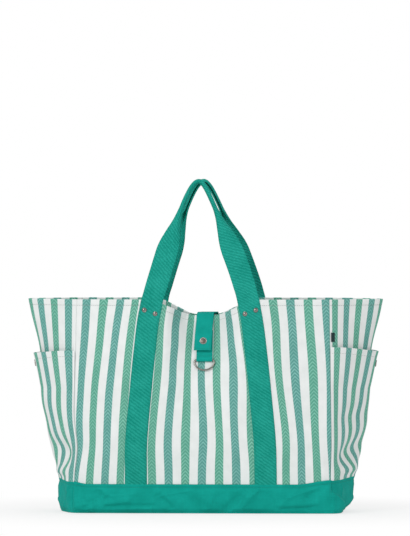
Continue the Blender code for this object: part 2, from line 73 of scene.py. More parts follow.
def ripple(u, v, size, seed, count=7):     # slow soft waves in all directions
    rng = np.random.default_rng(seed)
    total = np.zeros(np.broadcast(u, v).shape)
    for k in range(count):
        turn, pitch, phase = rng.uniform(0, 2 * np.pi), size * rng.uniform(0.7, 1.6), rng.uniform(0, 2 * np.pi)
        total += np.sin((u * np.cos(turn) + v * np.sin(turn)) * 2 * np.pi / pitch + phase)
    return total / math.sqrt(count)


def creases(u, v, size, seed):             # the same waves, drawn up into thin ridges
    return 1 - np.abs(np.clip(ripple(u, v, size, seed, 5), -1, 1)) ** 0.7


# the skin that every sewn piece lies on
def seamX(z):
    return mix(body["baseHalfWidth"], body["rimHalfWidth"], z / body["height"])


def noseX(z):
    return body["baseNose"] + (body["rimNose"] - body["baseNose"]) * np.maximum(z / body["height"], 0) ** 0.85


def rimZ(x):
    share = (np.abs(x) - body["dipFlat"]) / (body["dipEnd"] - body["dipFlat"])
    return body["height"] - body["rimDip"] * (1 - smooth(share))


def depthAt(x, z):
    t, edge = z / body["height"], seamX(z)
    rim = body["rimHalfDepth"] - body["seamDrawIn"] * smooth((x - body["pinchEnd"]) / (edge - body["pinchEnd"]))
    depth = mix(body["baseHalfDepth"], rim, t)
    depth = depth + body["bulge"] * np.sin(np.pi * np.minimum(t, 1)) * (1 - (x / edge) ** 4)
    rise = (z / (body["height"] - body["rimDip"]) - body["pinchStart"]) / (1 - body["pinchStart"])
    inside = 1 - smooth((x - body["pinchFlat"]) / (body["pinchEnd"] - body["pinchFlat"]))
    drawn = np.maximum(rise, 0) ** body["pinchCurve"] * inside
    return depth - (body["rimHalfDepth"] - body["pinchHalfDepth"]) * drawn


def frontSkin(x, z):
    return np.stack(np.broadcast_arrays(x, -depthAt(np.abs(x), z), z), -1)


# the base seam rides up towards the corners, more on the right; the cloth above takes it up over the fade
seamLift = dict(all=0.0010, right=0.0078, rightFrom=0.165, rightRun=0.062, left=0.0045, leftFrom=0.200, leftRun=0.028,
                fade=0.09)


def liftShare(z):
    return np.clip(z / body["bandTop"], 0, 1), 1 - smooth((z - body["bandTop"]) / seamLift["fade"])


def cornerLift(x, z):
    right = seamLift["right"] * smooth((x - seamLift["rightFrom"]) / seamLift["rightRun"])
    left = seamLift["left"] * smooth((-x - seamLift["leftFrom"]) / seamLift["leftRun"])
    rising, fading = liftShare(z)
    return (seamLift["all"] + np.where(x > 0, right, left)) * rising * fading


def liftedSkin(x, z):
    point = frontSkin(x, z)
    point[..., 2] += cornerLift(x, z)
    return point


def sideSkin(q, z):
    top = math.sqrt(1 + body["noseRound"] ** 2)
    fold = (top - np.sqrt(q * q + body["noseRound"] ** 2)) / (top - body["noseRound"])
    return np.stack(np.broadcast_arrays(mix(seamX(z), noseX(z), fold), q * depthAt(seamX(z), z), z), -1)


def unit(v):
    return v / np.linalg.norm(v, axis=-1, keepdims=True)


def skinOut(skin, u, z):
    step = 0.00005
    out = unit(np.cross(skin(u + step, z) - skin(u - step, z), skin(u, z + step) - skin(u, z - step)))
    out[..., 2] *= smooth((z - body["foot"]) / body["bandTop"])
    return unit(out)


def seamMitre(z):
    a, b = skinOut(frontSkin, seamX(z), z), skinOut(sideSkin, -1.0 + 0 * z, z)
    return (a + b) / (1 + (a * b).sum(-1, keepdims=True))


def frontOut(x, z):                        # outward at the panel, mitred at its seams
    out, m = skinOut(frontSkin, x, z), seamMitre(z)
    m = m * np.stack([np.sign(x), np.ones_like(x), np.ones_like(x)], -1)
    near = smooth((np.abs(x) - seamX(z) + mitreRun["front"]) / mitreRun["front"])[..., None]
    return mix(out, m, near)


def sideOut(q, z):
    out, m = skinOut(sideSkin, q, z), seamMitre(z)
    m = m * np.stack([np.ones_like(q), -np.sign(q), np.ones_like(q)], -1)
    near = smooth((np.abs(q) - 1 + mitreRun["side"]) / mitreRun["side"])[..., None]
    return mix(out, m, near)


def edgeRound(gap, radius):                # thins a sheet to a soft edge
    return np.sqrt(np.clip(1 - (1 - np.minimum(gap / radius, 1)) ** 2, 0.03, 1))


def spread(a, b, count, fine=0.0012):      # even steps, with close ones at both ends
    ends = np.array([0, 0.12, 0.4, 1]) * fine
    return np.concatenate([a + ends[:-1], np.linspace(a + fine, b - fine, count), (b - ends[:-1])[::-1]])


def runAlong(path):                        # length from the start of a path to each of its points
    return np.concatenate([[0], np.cumsum(np.linalg.norm(np.diff(path, axis=0), axis=1))])


# materials
def linear(code):                          # sRGB hex to linear
    parts = [int(code[k:k + 2], 16) / 255 for k in (1, 3, 5)]
    return tuple(c / 12.92 if c <= 0.04045 else ((c + 0.055) / 1.055) ** 2.4 for c in parts) + (1.0,)


def setInputs(tree, node, values):         # links what is a socket and sets what is a value
    for key, value in values.items():
        if isinstance(value, bpy.types.NodeSocket):
            tree.links.new(value, node.inputs[key])
        else:
            node.inputs[key].default_value = value


def addNode(tree, kind, links=None, out=None, **settings):
    node = tree.nodes.new(kind)
    for key, value in settings.items():
        setattr(node, key, value)
    setInputs(tree, node, links or {})
    return node if out is None else node.outputs[out]


def newMaterial(name):
    made = bpy.data.materials.new(name)
    made.use_nodes = True
    return made, made.node_tree, made.node_tree.nodes["Principled BSDF"]


# yarn-dyed cotton canvas: matt, with coloured stripes in a herringbone weave
canvasLook = dict(pitch=0.0289, stripe=0.0142, chevron=0.0064, thread=0.0016, white="#F1F4F3", shade="#E0E5E3",
                  teal="#5FA097", green="#5FA791", paleTeal="#96D2CA", paleGreen="#96D8C4")


def stripedCanvas():
    made, tree, shader = newMaterial("stripedCanvas")
    look, m = canvasLook, "ShaderNodeMath"
    cloth = addNode(tree, "ShaderNodeUVMap", uv_map="cloth", out="UV")
    yarn = addNode(tree, "ShaderNodeTexNoise", {"Vector": cloth, "Scale": 900.0, "Detail": 2.0}, out="Fac")
    slub = addNode(tree, "ShaderNodeTexNoise", {"Vector": cloth, "Scale": 38.0, "Detail": 3.0}, out="Fac")
    split = addNode(tree, "ShaderNodeSeparateXYZ", {"Vector": cloth})
    jitter = addNode(tree, m, {0: yarn, 1: 0.0011, 2: split.outputs["X"]}, out=0, operation="MULTIPLY_ADD")
    turns = addNode(tree, m, {0: jitter, 1: 1 / look["pitch"], 2: 0.5}, out=0, operation="MULTIPLY_ADD")
    part = addNode(tree, m, {0: turns}, out=0, operation="FRACT")
    off = addNode(tree, m, {0: part, 1: 0.5}, out=0, operation="SUBTRACT")
    side = addNode(tree, m, {0: off}, out=0, operation="ABSOLUTE")
    edge = look["stripe"] / look["pitch"] / 2
    stripe = addNode(tree, "ShaderNodeMapRange", {"Value": side, "From Min": edge + 0.012, "From Max": edge - 0.012},
                     out="Result", interpolation_type="SMOOTHSTEP")
    pair = addNode(tree, m, {0: jitter, 1: 0.5 / look["pitch"], 2: 0.25}, out=0, operation="MULTIPLY_ADD")
    which = addNode(tree, m, {0: pair}, out=0, operation="FRACT")
    isTeal = addNode(tree, m, {0: which, 1: 0.5}, out=0, operation="LESS_THAN")
    # herringbone drawn at 6.4 mm, coarser than the yarn, so that it shows at this size
    slant = addNode(tree, m, {0: side, 1: look["pitch"] * 1.15, 2: split.outputs["Y"]}, out=0,
                    operation="MULTIPLY_ADD")
    rib = addNode(tree, m, {0: slant, 1: look["chevron"] / 2}, out=0, operation="PINGPONG")
    chevron = addNode(tree, "ShaderNodeMapRange", {"Value": rib, "From Min": look["chevron"] * 0.2,
                                                   "From Max": look["chevron"] * 0.42}, out="Result")
    fleck = addNode(tree, m, {0: chevron, 1: yarn}, out=0, operation="MULTIPLY")
    dyed = addNode(tree, "ShaderNodeMix", {0: isTeal, 6: linear(look["green"]), 7: linear(look["teal"])}, out=2,
                   data_type="RGBA")
    worn = addNode(tree, "ShaderNodeMapRange", {"Value": slub, "From Min": 0.3, "From Max": 0.7, "To Min": 0.7,
                                                "To Max": 1.7}, out="Result")
    paler = addNode(tree, m, {0: fleck, 1: worn}, out=0, operation="MULTIPLY", use_clamp=True)
    faded = addNode(tree, "ShaderNodeMix", {0: isTeal, 6: linear(look["paleGreen"]), 7: linear(look["paleTeal"])},
                    out=2, data_type="RGBA")
    woven = addNode(tree, "ShaderNodeMix", {0: paler, 6: dyed, 7: faded}, out=2, data_type="RGBA")
    slubby = addNode(tree, "ShaderNodeMapRange", {"Value": slub, "From Min": 0.35, "From Max": 0.75, "To Max": 0.5},
                     out="Result")
    plain = addNode(tree, "ShaderNodeMix", {0: slubby, 6: linear(look["white"]), 7: linear(look["shade"])}, out=2,
                    data_type="RGBA")
    colour = addNode(tree, "ShaderNodeMix", {0: stripe, 6: plain, 7: woven}, out=2, data_type="RGBA")
    warp = addNode(tree, m, {0: split.outputs["X"], 1: look["thread"] / 2}, out=0, operation="PINGPONG")
    weft = addNode(tree, m, {0: split.outputs["Y"], 1: look["thread"] / 2}, out=0, operation="PINGPONG")
    cross = addNode(tree, m, {0: warp, 1: weft}, out=0, operation="ADD")
    ribs = addNode(tree, m, {0: rib, 1: stripe, 2: cross}, out=0, operation="MULTIPLY_ADD")
    relief = addNode(tree, m, {0: yarn, 1: 0.0012, 2: ribs}, out=0, operation="MULTIPLY_ADD")
    bump = addNode(tree, "ShaderNodeBump", {"Height": relief, "Strength": 0.35, "Distance": 0.35}, out="Normal")
    rough = addNode(tree, "ShaderNodeMapRange", {"Value": yarn, "To Min": 0.78, "To Max": 0.95}, out="Result")
    setInputs(tree, shader, {"Base Color": colour, "Normal": bump, "Roughness": rough, "Specular IOR Level": 0.2})
    return made


# piece-dyed cotton: flat colour with worn high spots and a painted highlight on the weave's ribs; twill is the slope
# of its ribs, 0 for a plain weave
def dyedCotton(name, deep, pale, thread, twill, fade, strength):
    made, tree, shader = newMaterial(name)
    m = "ShaderNodeMath"
    cloth = addNode(tree, "ShaderNodeUVMap", uv_map="cloth", out="UV")
    fibre = addNode(tree, "ShaderNodeTexNoise", {"Vector": cloth, "Scale": 1100.0, "Detail": 2.0}, out="Fac")
    wear = addNode(tree, "ShaderNodeTexNoise", {"Vector": cloth, "Scale": 26.0, "Detail": 5.0, "Roughness": 0.6},
                   out="Fac")
    split = addNode(tree, "ShaderNodeSeparateXYZ", {"Vector": cloth})
    if twill:
        along = addNode(tree, m, {0: split.outputs["X"], 1: twill, 2: split.outputs["Y"]}, out=0,
                        operation="MULTIPLY_ADD")
        stray = addNode(tree, "ShaderNodeTexNoise", {"Vector": cloth, "Scale": 240.0, "Detail": 3.0}, out="Fac")
        uneven = addNode(tree, m, {0: stray, 1: thread * 2.4, 2: along}, out=0, operation="MULTIPLY_ADD")
        weave = addNode(tree, m, {0: uneven, 1: thread}, out=0, operation="PINGPONG")
    else:
        warp = addNode(tree, m, {0: split.outputs["X"], 1: thread}, out=0, operation="PINGPONG")
        weft = addNode(tree, m, {0: split.outputs["Y"], 1: thread}, out=0, operation="PINGPONG")
        weave = addNode(tree, m, {0: warp, 1: weft}, out=0, operation="MAXIMUM")
    # the weave's ribs are coloured lighter: a painted highlight
    lit = addNode(tree, "ShaderNodeMapRange", {"Value": weave, "From Max": thread, "To Max": 0.55}, out="Result")
    spots = addNode(tree, "ShaderNodeMapRange", {"Value": wear, "From Min": 0.38, "From Max": 0.72, "To Max": fade},
                    out="Result")
    blend = addNode(tree, m, {0: lit, 1: fibre, 2: spots}, out=0, operation="MULTIPLY_ADD", use_clamp=True)
    colour = addNode(tree, "ShaderNodeMix", {0: blend, 6: linear(deep), 7: linear(pale)}, out=2, data_type="RGBA")
    relief = addNode(tree, m, {0: fibre, 1: thread * 0.6, 2: weave}, out=0, operation="MULTIPLY_ADD")
    bump = addNode(tree, "ShaderNodeBump", {"Height": relief, "Strength": strength, "Distance": 0.4}, out="Normal")
    rough = addNode(tree, "ShaderNodeMapRange", {"Value": fibre, "To Min": 0.7, "To Max": 0.92}, out="Result")
    setInputs(tree, shader, {"Base Color": colour, "Normal": bump, "Roughness": rough, "Specular IOR Level": 0.12})
    return made


# nickel plate on die-cast or wire parts: bright, a little warm, dulled by handling; darker colours passed in paint
# dark reflections
def agedNickel(name, bright, dull, roughLow, roughHigh):
    made, tree, shader = newMaterial(name)
    place = addNode(tree, "ShaderNodeTexCoord", out="Object")
    smear = addNode(tree, "ShaderNodeTexNoise", {"Vector": place, "Scale": 160.0, "Detail": 4.0}, out="Fac")
    colour = addNode(tree, "ShaderNodeMix", {0: smear, 6: linear(bright), 7: linear(dull)}, out=2, data_type="RGBA")
    rough = addNode(tree, "ShaderNodeMapRange", {"Value": smear, "From Min": 0.3, "From Max": 0.7, "To Min": roughLow,
                                                 "To Max": roughHigh}, out="Result")
    setInputs(tree, shader, {"Base Color": colour, "Roughness": rough, "Metallic": 1.0})
    return made


# spun thread and fibreboard: matt, with a fine grain
def grainy(name, dark, light, scale):
    made, tree, shader = newMaterial(name)
    place = addNode(tree, "ShaderNodeTexCoord", out="Object")
    grain = addNode(tree, "ShaderNodeTexNoise", {"Vector": place, "Scale": scale, "Detail": 3.0}, out="Fac")
    colour = addNode(tree, "ShaderNodeMix", {0: grain, 6: linear(dark), 7: linear(light)}, out=2, data_type="RGBA")
    bump = addNode(tree, "ShaderNodeBump", {"Height": grain, "Strength": 0.2, "Distance": 0.0005}, out="Normal")
    setInputs(tree, shader, {"Base Color": colour, "Normal": bump, "Roughness": 0.8})
    return made


canvas = stripedCanvas()
# the webbing's twill is drawn at 3.1 mm a rib, coarser than its yarn, so that it shows at this size
baseCotton = dyedCotton("baseCotton", "#019385", "#16B7AA", 0.0012, 0, 0.4, 0.35)
twillWebbing = dyedCotton("twillWebbing", "#018978", "#44DAC8", 0.0031, 0.7, 0.16, 0.6)
labelTape = dyedCotton("labelTape", "#16282B", "#3A4A4C", 0.0005, 0, 0.5, 0.3)
nickel = agedNickel("agedNickel", "#D2CFCA", "#8E8A84", 0.14, 0.34)
# the ring and the rivets get darker nickel than the rest: a painted dark reflection, on top of the handling wear
ringNickel = agedNickel("ringNickel", "#B4B1AB", "#6F6B66", 0.10, 0.28)
rivetNickel = agedNickel("rivetNickel", "#A5A29C", "#605D59", 0.07, 0.20)
wornNickel = agedNickel("wornNickel", "#938A82", "#5E5650", 0.26, 0.42)
paleThread = grainy("paleThread", "#8C9A96", "#A9B5B1", 2500.0)
greenThread = grainy("greenThread", "#0B7E6C", "#159482", 2500.0)
board = grainy("fibreBoard", "#6E6962", "#8C867E", 700.0)
print("materials made")


# meshes
def addObject(name, data):
    made = bpy.data.objects.new(name, data)
    bpy.context.collection.objects.link(made)
    return made


def dress(piece, slot, *nodes, rider="bag_body"):   # the body it rides, its slot (not used) and the solids it stands for
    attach(piece, rider)
    if nodes:
        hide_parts(*nodes)


def addMesh(name, verts, faces, material, uv=None):
    mesh = bpy.data.meshes.new(name)
    mesh.from_pydata(verts, [], faces)
    mesh.polygons.foreach_set("use_smooth", [True] * len(mesh.polygons))
    if uv is not None:
        at = np.empty(len(mesh.loops), int)
        mesh.loops.foreach_get("vertex_index", at)
        mesh.uv_layers.new(name="cloth").data.foreach_set("uv", np.asarray(uv, float)[at].ravel())
    mesh.materials.append(material)
    return addObject(name, mesh)


def gridQuads(rows, columns, wrap=False):
    at = np.arange(rows * columns).reshape(rows, columns)
    if wrap:
        at = np.concatenate([at, at[:, :1]], 1)
    return np.stack([at[:-1, :-1], at[:-1, 1:], at[1:, 1:], at[1:, :-1]], -1).reshape(-1, 4)


bowed = dict(size=0.0070, z=0.116, tall=0.036, wide=0.03)     # the left front seam bows in above the base


def sway(points):
    x, y, z = np.moveaxis(points, -1, 0)
    shift = bowed["size"] * hill(z, bowed["z"], bowed["tall"]) * hill(x + seamX(z), 0, bowed["wide"])
    shift = shift * smooth((-y - 0.02) / 0.04)             # on the front half alone
    return points + np.stack([shift, 0 * shift, 0 * shift], -1)


def clothSolid(name, outerFace, innerFace, uv, material):
    if material == canvas:
        outerFace, innerFace = sway(outerFace), sway(innerFace)
    rows, columns = outerFace.shape[:2]
    count = rows * columns
    top = gridQuads(rows, columns)
    at = np.arange(count).reshape(rows, columns)
    rim = np.concatenate([at[0], at[1:, -1], at[-1, -2::-1], at[-2:0:-1, 0]])
    walls = np.stack([rim, rim + count, np.roll(rim, -1) + count, np.roll(rim, -1)], -1)
    faces = np.concatenate([top, top[:, ::-1] + count, walls])
    verts = np.concatenate([outerFace.reshape(-1, 3), innerFace.reshape(-1, 3)])
    flat = uv.reshape(-1, 2)
    return addMesh(name, verts.tolist(), faces.tolist(), material, np.concatenate([flat, flat]))


def sewSheet(name, outer, inner, uv, flip, material):    # turns a front or right piece to its own side of the bag
    way = -1 if flip[0] * flip[1] < 0 else 1
    return clothSolid(name, (outer * flip)[:, ::way], (inner * flip)[:, ::way], uv[:, ::way], material)


def tube(name, rings, material, uv=None, capped=True):   # rings of points, joined along their length
    rows, columns = rings.shape[:2]
    faces = gridQuads(rows, columns, True)[:, ::-1].tolist()
    if capped:
        faces += [list(range(columns)), list(range((rows - 1) * columns, rows * columns))[::-1]]
    else:
        last = (rows - 1) * columns
        faces += [[last + (k + 1) % columns, last + k, k, (k + 1) % columns] for k in range(columns)]
    return addMesh(name, rings.reshape(-1, 3).tolist(), faces, material, None if uv is None else uv.reshape(-1, 2))


def turnOut(piece):                        # points a closed piece's faces outwards
    work = bmesh.new()
    work.from_mesh(piece.data)
    bmesh.ops.recalc_face_normals(work, faces=work.faces)
    work.to_mesh(piece.data)
    work.free()
    return piece


def lathe(name, profile, place, material, segments=40):
    turn = np.linspace(0, 2 * np.pi, segments, endpoint=False)
    rings = np.array([[(max(r, 1e-5) * np.cos(a), max(r, 1e-5) * np.sin(a), h) for a in turn] for r, h in profile])
    made = turnOut(tube(name, rings, material))
    made.data.transform(place)
    return made


def placeOn(point, out):
    return Matrix.Translation(Vector(point)) @ Vector(out).to_track_quat("Z", "Y").to_matrix().to_4x4()


# geometry nodes: a row of stitches along each line of a piece, and rivets set on points
def nodeTree(name, sockets):
    tree = bpy.data.node_groups.new(name, "GeometryNodeTree")
    tree.interface.new_socket("Geometry", in_out="OUTPUT", socket_type="NodeSocketGeometry")
    tree.interface.new_socket("Geometry", in_out="INPUT", socket_type="NodeSocketGeometry")
    for label, kind in sockets:
        tree.interface.new_socket(label, in_out="INPUT", socket_type=kind)
    return tree, addNode(tree, "NodeGroupInput")


def stitchTree():
    tree, given = nodeTree("runningStitch", [("Stitch Pitch", "NodeSocketFloat"),
                                             ("Stitch Length", "NodeSocketFloat"),
                                             ("Thread Radius", "NodeSocketFloat"),
                                             ("Thread", "NodeSocketMaterial")])
    line = addNode(tree, "GeometryNodeMeshToCurve", {"Mesh": given.outputs["Geometry"]}, out="Curve")
    spots = addNode(tree, "GeometryNodeCurveToPoints", {"Curve": line, "Length": given.outputs["Stitch Pitch"]},
                    mode="LENGTH")
    turn = addNode(tree, "FunctionNodeAlignRotationToVector", {"Vector": spots.outputs["Tangent"]}, out="Rotation",
                   axis="Z")
    bead = addNode(tree, "GeometryNodeMeshUVSphere", {"Segments": 6, "Rings": 4, "Radius": 1.0}, out="Mesh")
    reach = addNode(tree, "ShaderNodeMath", {0: given.outputs["Stitch Length"], 1: 0.5}, out=0, operation="MULTIPLY")
    thick = given.outputs["Thread Radius"]
    size = addNode(tree, "ShaderNodeCombineXYZ", {"X": thick, "Y": thick, "Z": reach}, out="Vector")
    sewn = addNode(tree, "GeometryNodeInstanceOnPoints", {"Points": spots.outputs["Points"], "Instance": bead,
                                                          "Rotation": turn, "Scale": size}, out="Instances")
    real = addNode(tree, "GeometryNodeRealizeInstances", {"Geometry": sewn}, out="Geometry")
    done = addNode(tree, "GeometryNodeSetMaterial", {"Geometry": real, "Material": given.outputs["Thread"]},
                   out="Geometry")
    addNode(tree, "NodeGroupOutput", {"Geometry": done})
    return tree


def rivetTree():
    tree, given = nodeTree("setRivets", [("Rivet", "NodeSocketObject"), ("Plating", "NodeSocketMaterial")])
    facing = addNode(tree, "GeometryNodeInputNamedAttribute", {"Name": "facing"}, out="Attribute",
                     data_type="FLOAT_VECTOR")
    turn = addNode(tree, "FunctionNodeAlignRotationToVector", {"Vector": facing}, out="Rotation", axis="Z")
    shape = addNode(tree, "GeometryNodeObjectInfo", {"Object": given.outputs["Rivet"]}, out="Geometry")
    put = addNode(tree, "GeometryNodeInstanceOnPoints", {"Points": given.outputs["Geometry"], "Instance": shape,
                                                         "Rotation": turn}, out="Instances")
    real = addNode(tree, "GeometryNodeRealizeInstances", {"Geometry": put}, out="Geometry")
    done = addNode(tree, "GeometryNodeSetMaterial", {"Geometry": real, "Material": given.outputs["Plating"]},
                   out="Geometry")
    addNode(tree, "NodeGroupOutput", {"Geometry": done})
    return tree


def grow(carrier, tree, values):           # runs a tree on a carrier and keeps the result as a plain mesh
    step = carrier.modifiers.new("grow", "NODES")
    step.node_group = tree
    for item in tree.interface.items_tree:
        if item.in_out == "INPUT" and item.name in values:
            step[item.identifier] = values[item.name]
    graph = bpy.context.evaluated_depsgraph_get()
    mesh = bpy.data.meshes.new_from_object(carrier.evaluated_get(graph), depsgraph=graph)
    mesh.polygons.foreach_set("use_smooth", [True] * len(mesh.polygons))
    carrier.modifiers.remove(step)
    name = carrier.name
    bpy.data.objects.remove(carrier)
    mesh.name = name
    return addObject(name, mesh)


stitchNodes, rivetNodes = stitchTree(), rivetTree()


# a stitch's own size, then how far the rows keep from other pieces
stitch = dict(pitch=0.0036, length=0.0027, radius=0.00034, toStrap=0.001, toSeam=0.002, toMiddle=0.0165,
              inStrap=0.0026, toCorner=0.003, toTabEnd=0.0040, overRing=0.0080)


def sew(name, lines, thread):
    mesh = bpy.data.meshes.new(name)
    verts, edges = [], []
    for line in lines:
        edges += [(len(verts) + k, len(verts) + k + 1) for k in range(len(line) - 1)]
        verts += np.asarray(line).tolist()
    mesh.from_pydata(verts, edges, [])
    return grow(addObject(name, mesh), stitchNodes, {"Stitch Pitch": stitch["pitch"],
                                                     "Stitch Length": stitch["length"],
                                                     "Thread Radius": stitch["radius"], "Thread": thread})


# camera, from the photograph's angle: a long lens, a little to the bag's right and just above the rim
shot = dict(azimuth=3.2, elevation=1.2, distance=16.0, aimX=-0.0005, aimZ=0.4275, metresPerPixel=0.00176, tall=536)


def makeCamera():
    lens = bpy.data.cameras.new("photoLens")
    made = addObject("photoCamera", lens)
    a, e = math.radians(shot["azimuth"]), math.radians(shot["elevation"])
    back = Vector((math.sin(a) * math.cos(e), -math.cos(a) * math.cos(e), math.sin(e)))
    made.location = Vector((shot["aimX"], 0, shot["aimZ"])) + back * shot["distance"]
    made.rotation_euler = (-back).to_track_quat("-Z", "Y").to_euler()
    lens.sensor_width = 36
    lens.lens = 36 * shot["distance"] / (shot["tall"] * shot["metresPerPixel"])
    lens.clip_end = 100
    bpy.context.scene.camera = made


makeCamera()

# striped panels
strap = dict(width=0.039, thick=0.0022, edge=0.0012, under=0.004, bendBelow=0.012, hingeZ=0.377,
             knots=(0.05, 0.12, 0.164, 0.248, 0.332, 0.377))
# distance of each strap from the middle, at the heights above
straps = {"front": {-1: (0.1160, 0.1160, 0.1125, 0.1050, 0.0965, 0.0870),
                    1: (0.1115, 0.1105, 0.1065, 0.0980, 0.0880, 0.0790)},
          "back": {-1: (0.1140, 0.1130, 0.1100, 0.1030, 0.0950, 0.0880),
                   1: (0.1120, 0.1095, 0.1050, 0.0975, 0.0895, 0.0815)}}
# cloth from the middle out: at the strap, at the seam's foot and at the seam's rim
laid = {-1: (0.1156, 0.2325, 0.2515), 1: (0.1060, 0.2283, 0.2364)}
# slow and short waves, calmer under the tab, a puckered hem, and how far the stripes wander
drape = dict(foot=0.014, slow=0.0022, slowRun=0.13, short=0.0007, shortRun=0.045, calm=0.35, pucker=0.0005,
             puckerRun=0.017, wander=0.0016, wanderRun=0.085)
hem = dict(depth=0.0105, groove=0.0004, extra=0.0007, edge=0.0011)
seamSink = dict(foot=0.0065, top=0.0013, reach=0.024, edge=0.0020)    # the seams sink in, most of all at the base
ends = {"front": ((1, 1, 1), 11), "back": ((1, -1, 1), 23)}           # turn and seed of each side
sides = {"right": ((1, 1, 1), 31), "left": ((-1, 1, 1), 47)}


def strapX(z, end, side):                  # the strap's middle line, a soft curve through its knots
    z = np.asarray(z, float)
    near = np.stack([z - 0.02, z - 0.01, z, z + 0.01, z + 0.02])
    return np.interp(near, strap["knots"], straps[end][side]).mean(0)


def aboveBand(z, run=0.08):                # 0 at the base seam, 1 where the cloth is free of it
    return smooth((z - body["bandTop"]) / run)


def panelU(x, z, end, seed):               # cloth across the panel: stripes run along the straps
    inner, edge = np.where(x < 0, strapX(z, end, -1), strapX(z, end, 1)), seamX(z)
    strapU, footU, rimU = [np.where(x < 0, left, right) for left, right in zip(laid[-1], laid[1])]
    far = strapU + (np.abs(x) - inner) * (mix(footU, rimU, z / body["height"]) - strapU) / (edge - inner)
    across = np.sign(x) * np.where(np.abs(x) < inner, np.abs(x) * strapU / inner, far)
    return across + drape["wander"] * ripple(x, z * 0.7, drape["wanderRun"], seed + 7, 6) * aboveBand(z)


def nearSeam(gap):                         # 1 at a seam, 0 past the sunken strip beside it
    return (1 - np.minimum(gap / seamSink["reach"], 1)) ** 2


def cornerSoft(gap, z):
    return -mix(seamSink["foot"], seamSink["top"], aboveBand(z)) * nearSeam(gap)


def panelWave(x, z, seed):                 # how far the cloth stands off its smooth skin
    room = smooth((seamX(z) - np.abs(x)) / 0.035) * smooth((z - 0.055) / 0.06)
    wave = drape["slow"] * ripple(x, z * 0.45, drape["slowRun"], seed) \
        + drape["short"] * ripple(x, z * 0.6, drape["shortRun"], seed + 1)
    wave = wave * mix(drape["calm"], 1.0, smooth((np.abs(x) - 0.022) / 0.03))
    pucker = drape["pucker"] * np.sin(x * 2 * np.pi / drape["puckerRun"] + 2 * np.sin(x * 23))
    return wave * room + pucker * hill(z, rimZ(x) - 0.010, 0.008) + cornerSoft(seamX(z) - np.abs(x), z)


def hemmed(below):                         # the stitched groove and the folded ply of a hem
    groove = hem["groove"] * hill(below, hem["depth"], 0.0012)
    return groove, hem["extra"] * smooth((hem["depth"] + 0.001 - below) / 0.002)


def sewPanel(end, flip, seed):
    share, up = spread(-1, 1, 190, 0.006)[None, :], spread(0, 1, 120, 0.0035)[:, None]
    z = mix(drape["foot"], rimZ(share * body["rimHalfWidth"]), up)
    x = share * (seamX(z) - seamGap / 2)
    skin, out, wave = liftedSkin(x, z), frontOut(x, z), panelWave(x, z, seed)
    below = rimZ(x) - z
    groove, folded = hemmed(below)
    soft = edgeRound(seamX(z) - np.abs(x), seamSink["edge"]) * edgeRound(below, hem["edge"])
    outer = skin + out * (wave + half * soft - groove + folded * 0.3)[..., None]
    inner = skin + out * (wave - (half + folded) * soft)[..., None]
    uv = np.stack([panelU(x, z, end, seed), z], -1)
    piece = sewSheet(end + "Panel", outer, inner, uv, flip, canvas)
    dress(piece, "striped_canvas", end + "_panel")


for end, (flip, seed) in ends.items():
    sewPanel(end, flip, seed)
print("panels sewn")


def onFront(x, z, height, seed, flip=(1, 1, 1)):    # a point that lies over the front or back panel
    x, z = np.broadcast_arrays(np.asarray(x, float), np.asarray(z, float))
    return liftedSkin(x, z) * flip + frontOut(x, z) * flip * (panelWave(x, z, seed) + height)[..., None]


# gussets and their slip pockets
gusset = dict(width=0.2335, open=0.998, wave=0.0016, waveRun=0.10, slack=0.0075, slackZ=0.285, slackTall=0.055)
pocket = dict(top=0.286, snapBelow=0.025, sprung=0.071, stand=0.0077)
pocketSlope = {"right": (0.0045, -0.0030), "left": (-0.0020, -0.0070)}      # top edge at the seams and at the fold
endLift = {"right": dict(top=0.014, foot=0.003), "left": dict(top=0.010, foot=0.0)}
# where the stripes start at the front seam, the front half's extra cloth, and the pocket's offset and twist
stripes = {"right": dict(start=0.0154, more=0.023, pocket=0.0, pull=0.24),
           "left": dict(start=-0.0155, more=0.0, pocket=0.005, pull=0.0)}
# height, width, size and slant of the folds across the flanks
buckles = {"right": [(0.168, 0.016, -0.0045, 0.3), (0.100, 0.022, -0.0115, 0.9), (0.066, 0.010, 0.0045, 0.0)],
           "left": [(0.104, 0.026, -0.0125, 0.5), (0.064, 0.011, 0.0050, -0.4), (0.185, 0.030, 0.0035, 0.3)]}
# height, width and size of the soft swells along the gusset's fold
noses = {"right": [(0.072, 0.020, -0.0012), (0.106, 0.020, 0.0022), (0.160, 0.028, 0.0030)],
         "left": [(0.062, 0.030, -0.0065), (0.160, 0.026, -0.0025), (0.0, 0.022, 0.0020)]}


def pocketGape(q, z):
    start = pocket["top"] - pocket["sprung"]
    rise = np.maximum(z - start, 0) / (pocket["top"] - pocket["snapBelow"] - start)
    return np.maximum(pocket["stand"] * rise * np.sqrt(np.maximum(1 - q * q, 0)), body["layerGap"])


def pocketTop(q, side):
    return pocket["top"] + mix(*pocketSlope[side], smooth(1 - np.abs(q)))


def toSeam(q):                             # about how far a point of the side is from its seam
    return (1 - np.abs(q)) * body["baseHalfDepth"]


def inwards(q, run):                       # 0 at the seams, 1 nearer the fold
    return smooth((1 - np.abs(q)) / run)


def sideWave(q, z, side, seed):
    wave = gusset["wave"] * ripple(q * body["baseHalfDepth"], z * 0.5, gusset["waveRun"], seed) * inwards(q, 0.4)
    flank = inwards(q, 0.45) * smooth((np.abs(q) + 0.15) / 0.5)       # 1 half way from seam to fold, 0 at both
    for height, width, size, slant in buckles[side]:
        wave = wave + size * hill(z + slant * 0.03 * (np.abs(q) - 0.5), height, width) * flank
    # the fold sinks in at the pocket's top edge
    slack = gusset["slack"] * hill(z, gusset["slackZ"], gusset["slackTall"]) * smooth((0.75 - np.abs(q)) / 0.75)
    swell = sum(size * hill(z, height, width) for height, width, size in noses[side]) * inwards(q, 0.9)
    return (wave - slack) * aboveBand(z, 0.012) + swell + cornerSoft(toSeam(q), z)


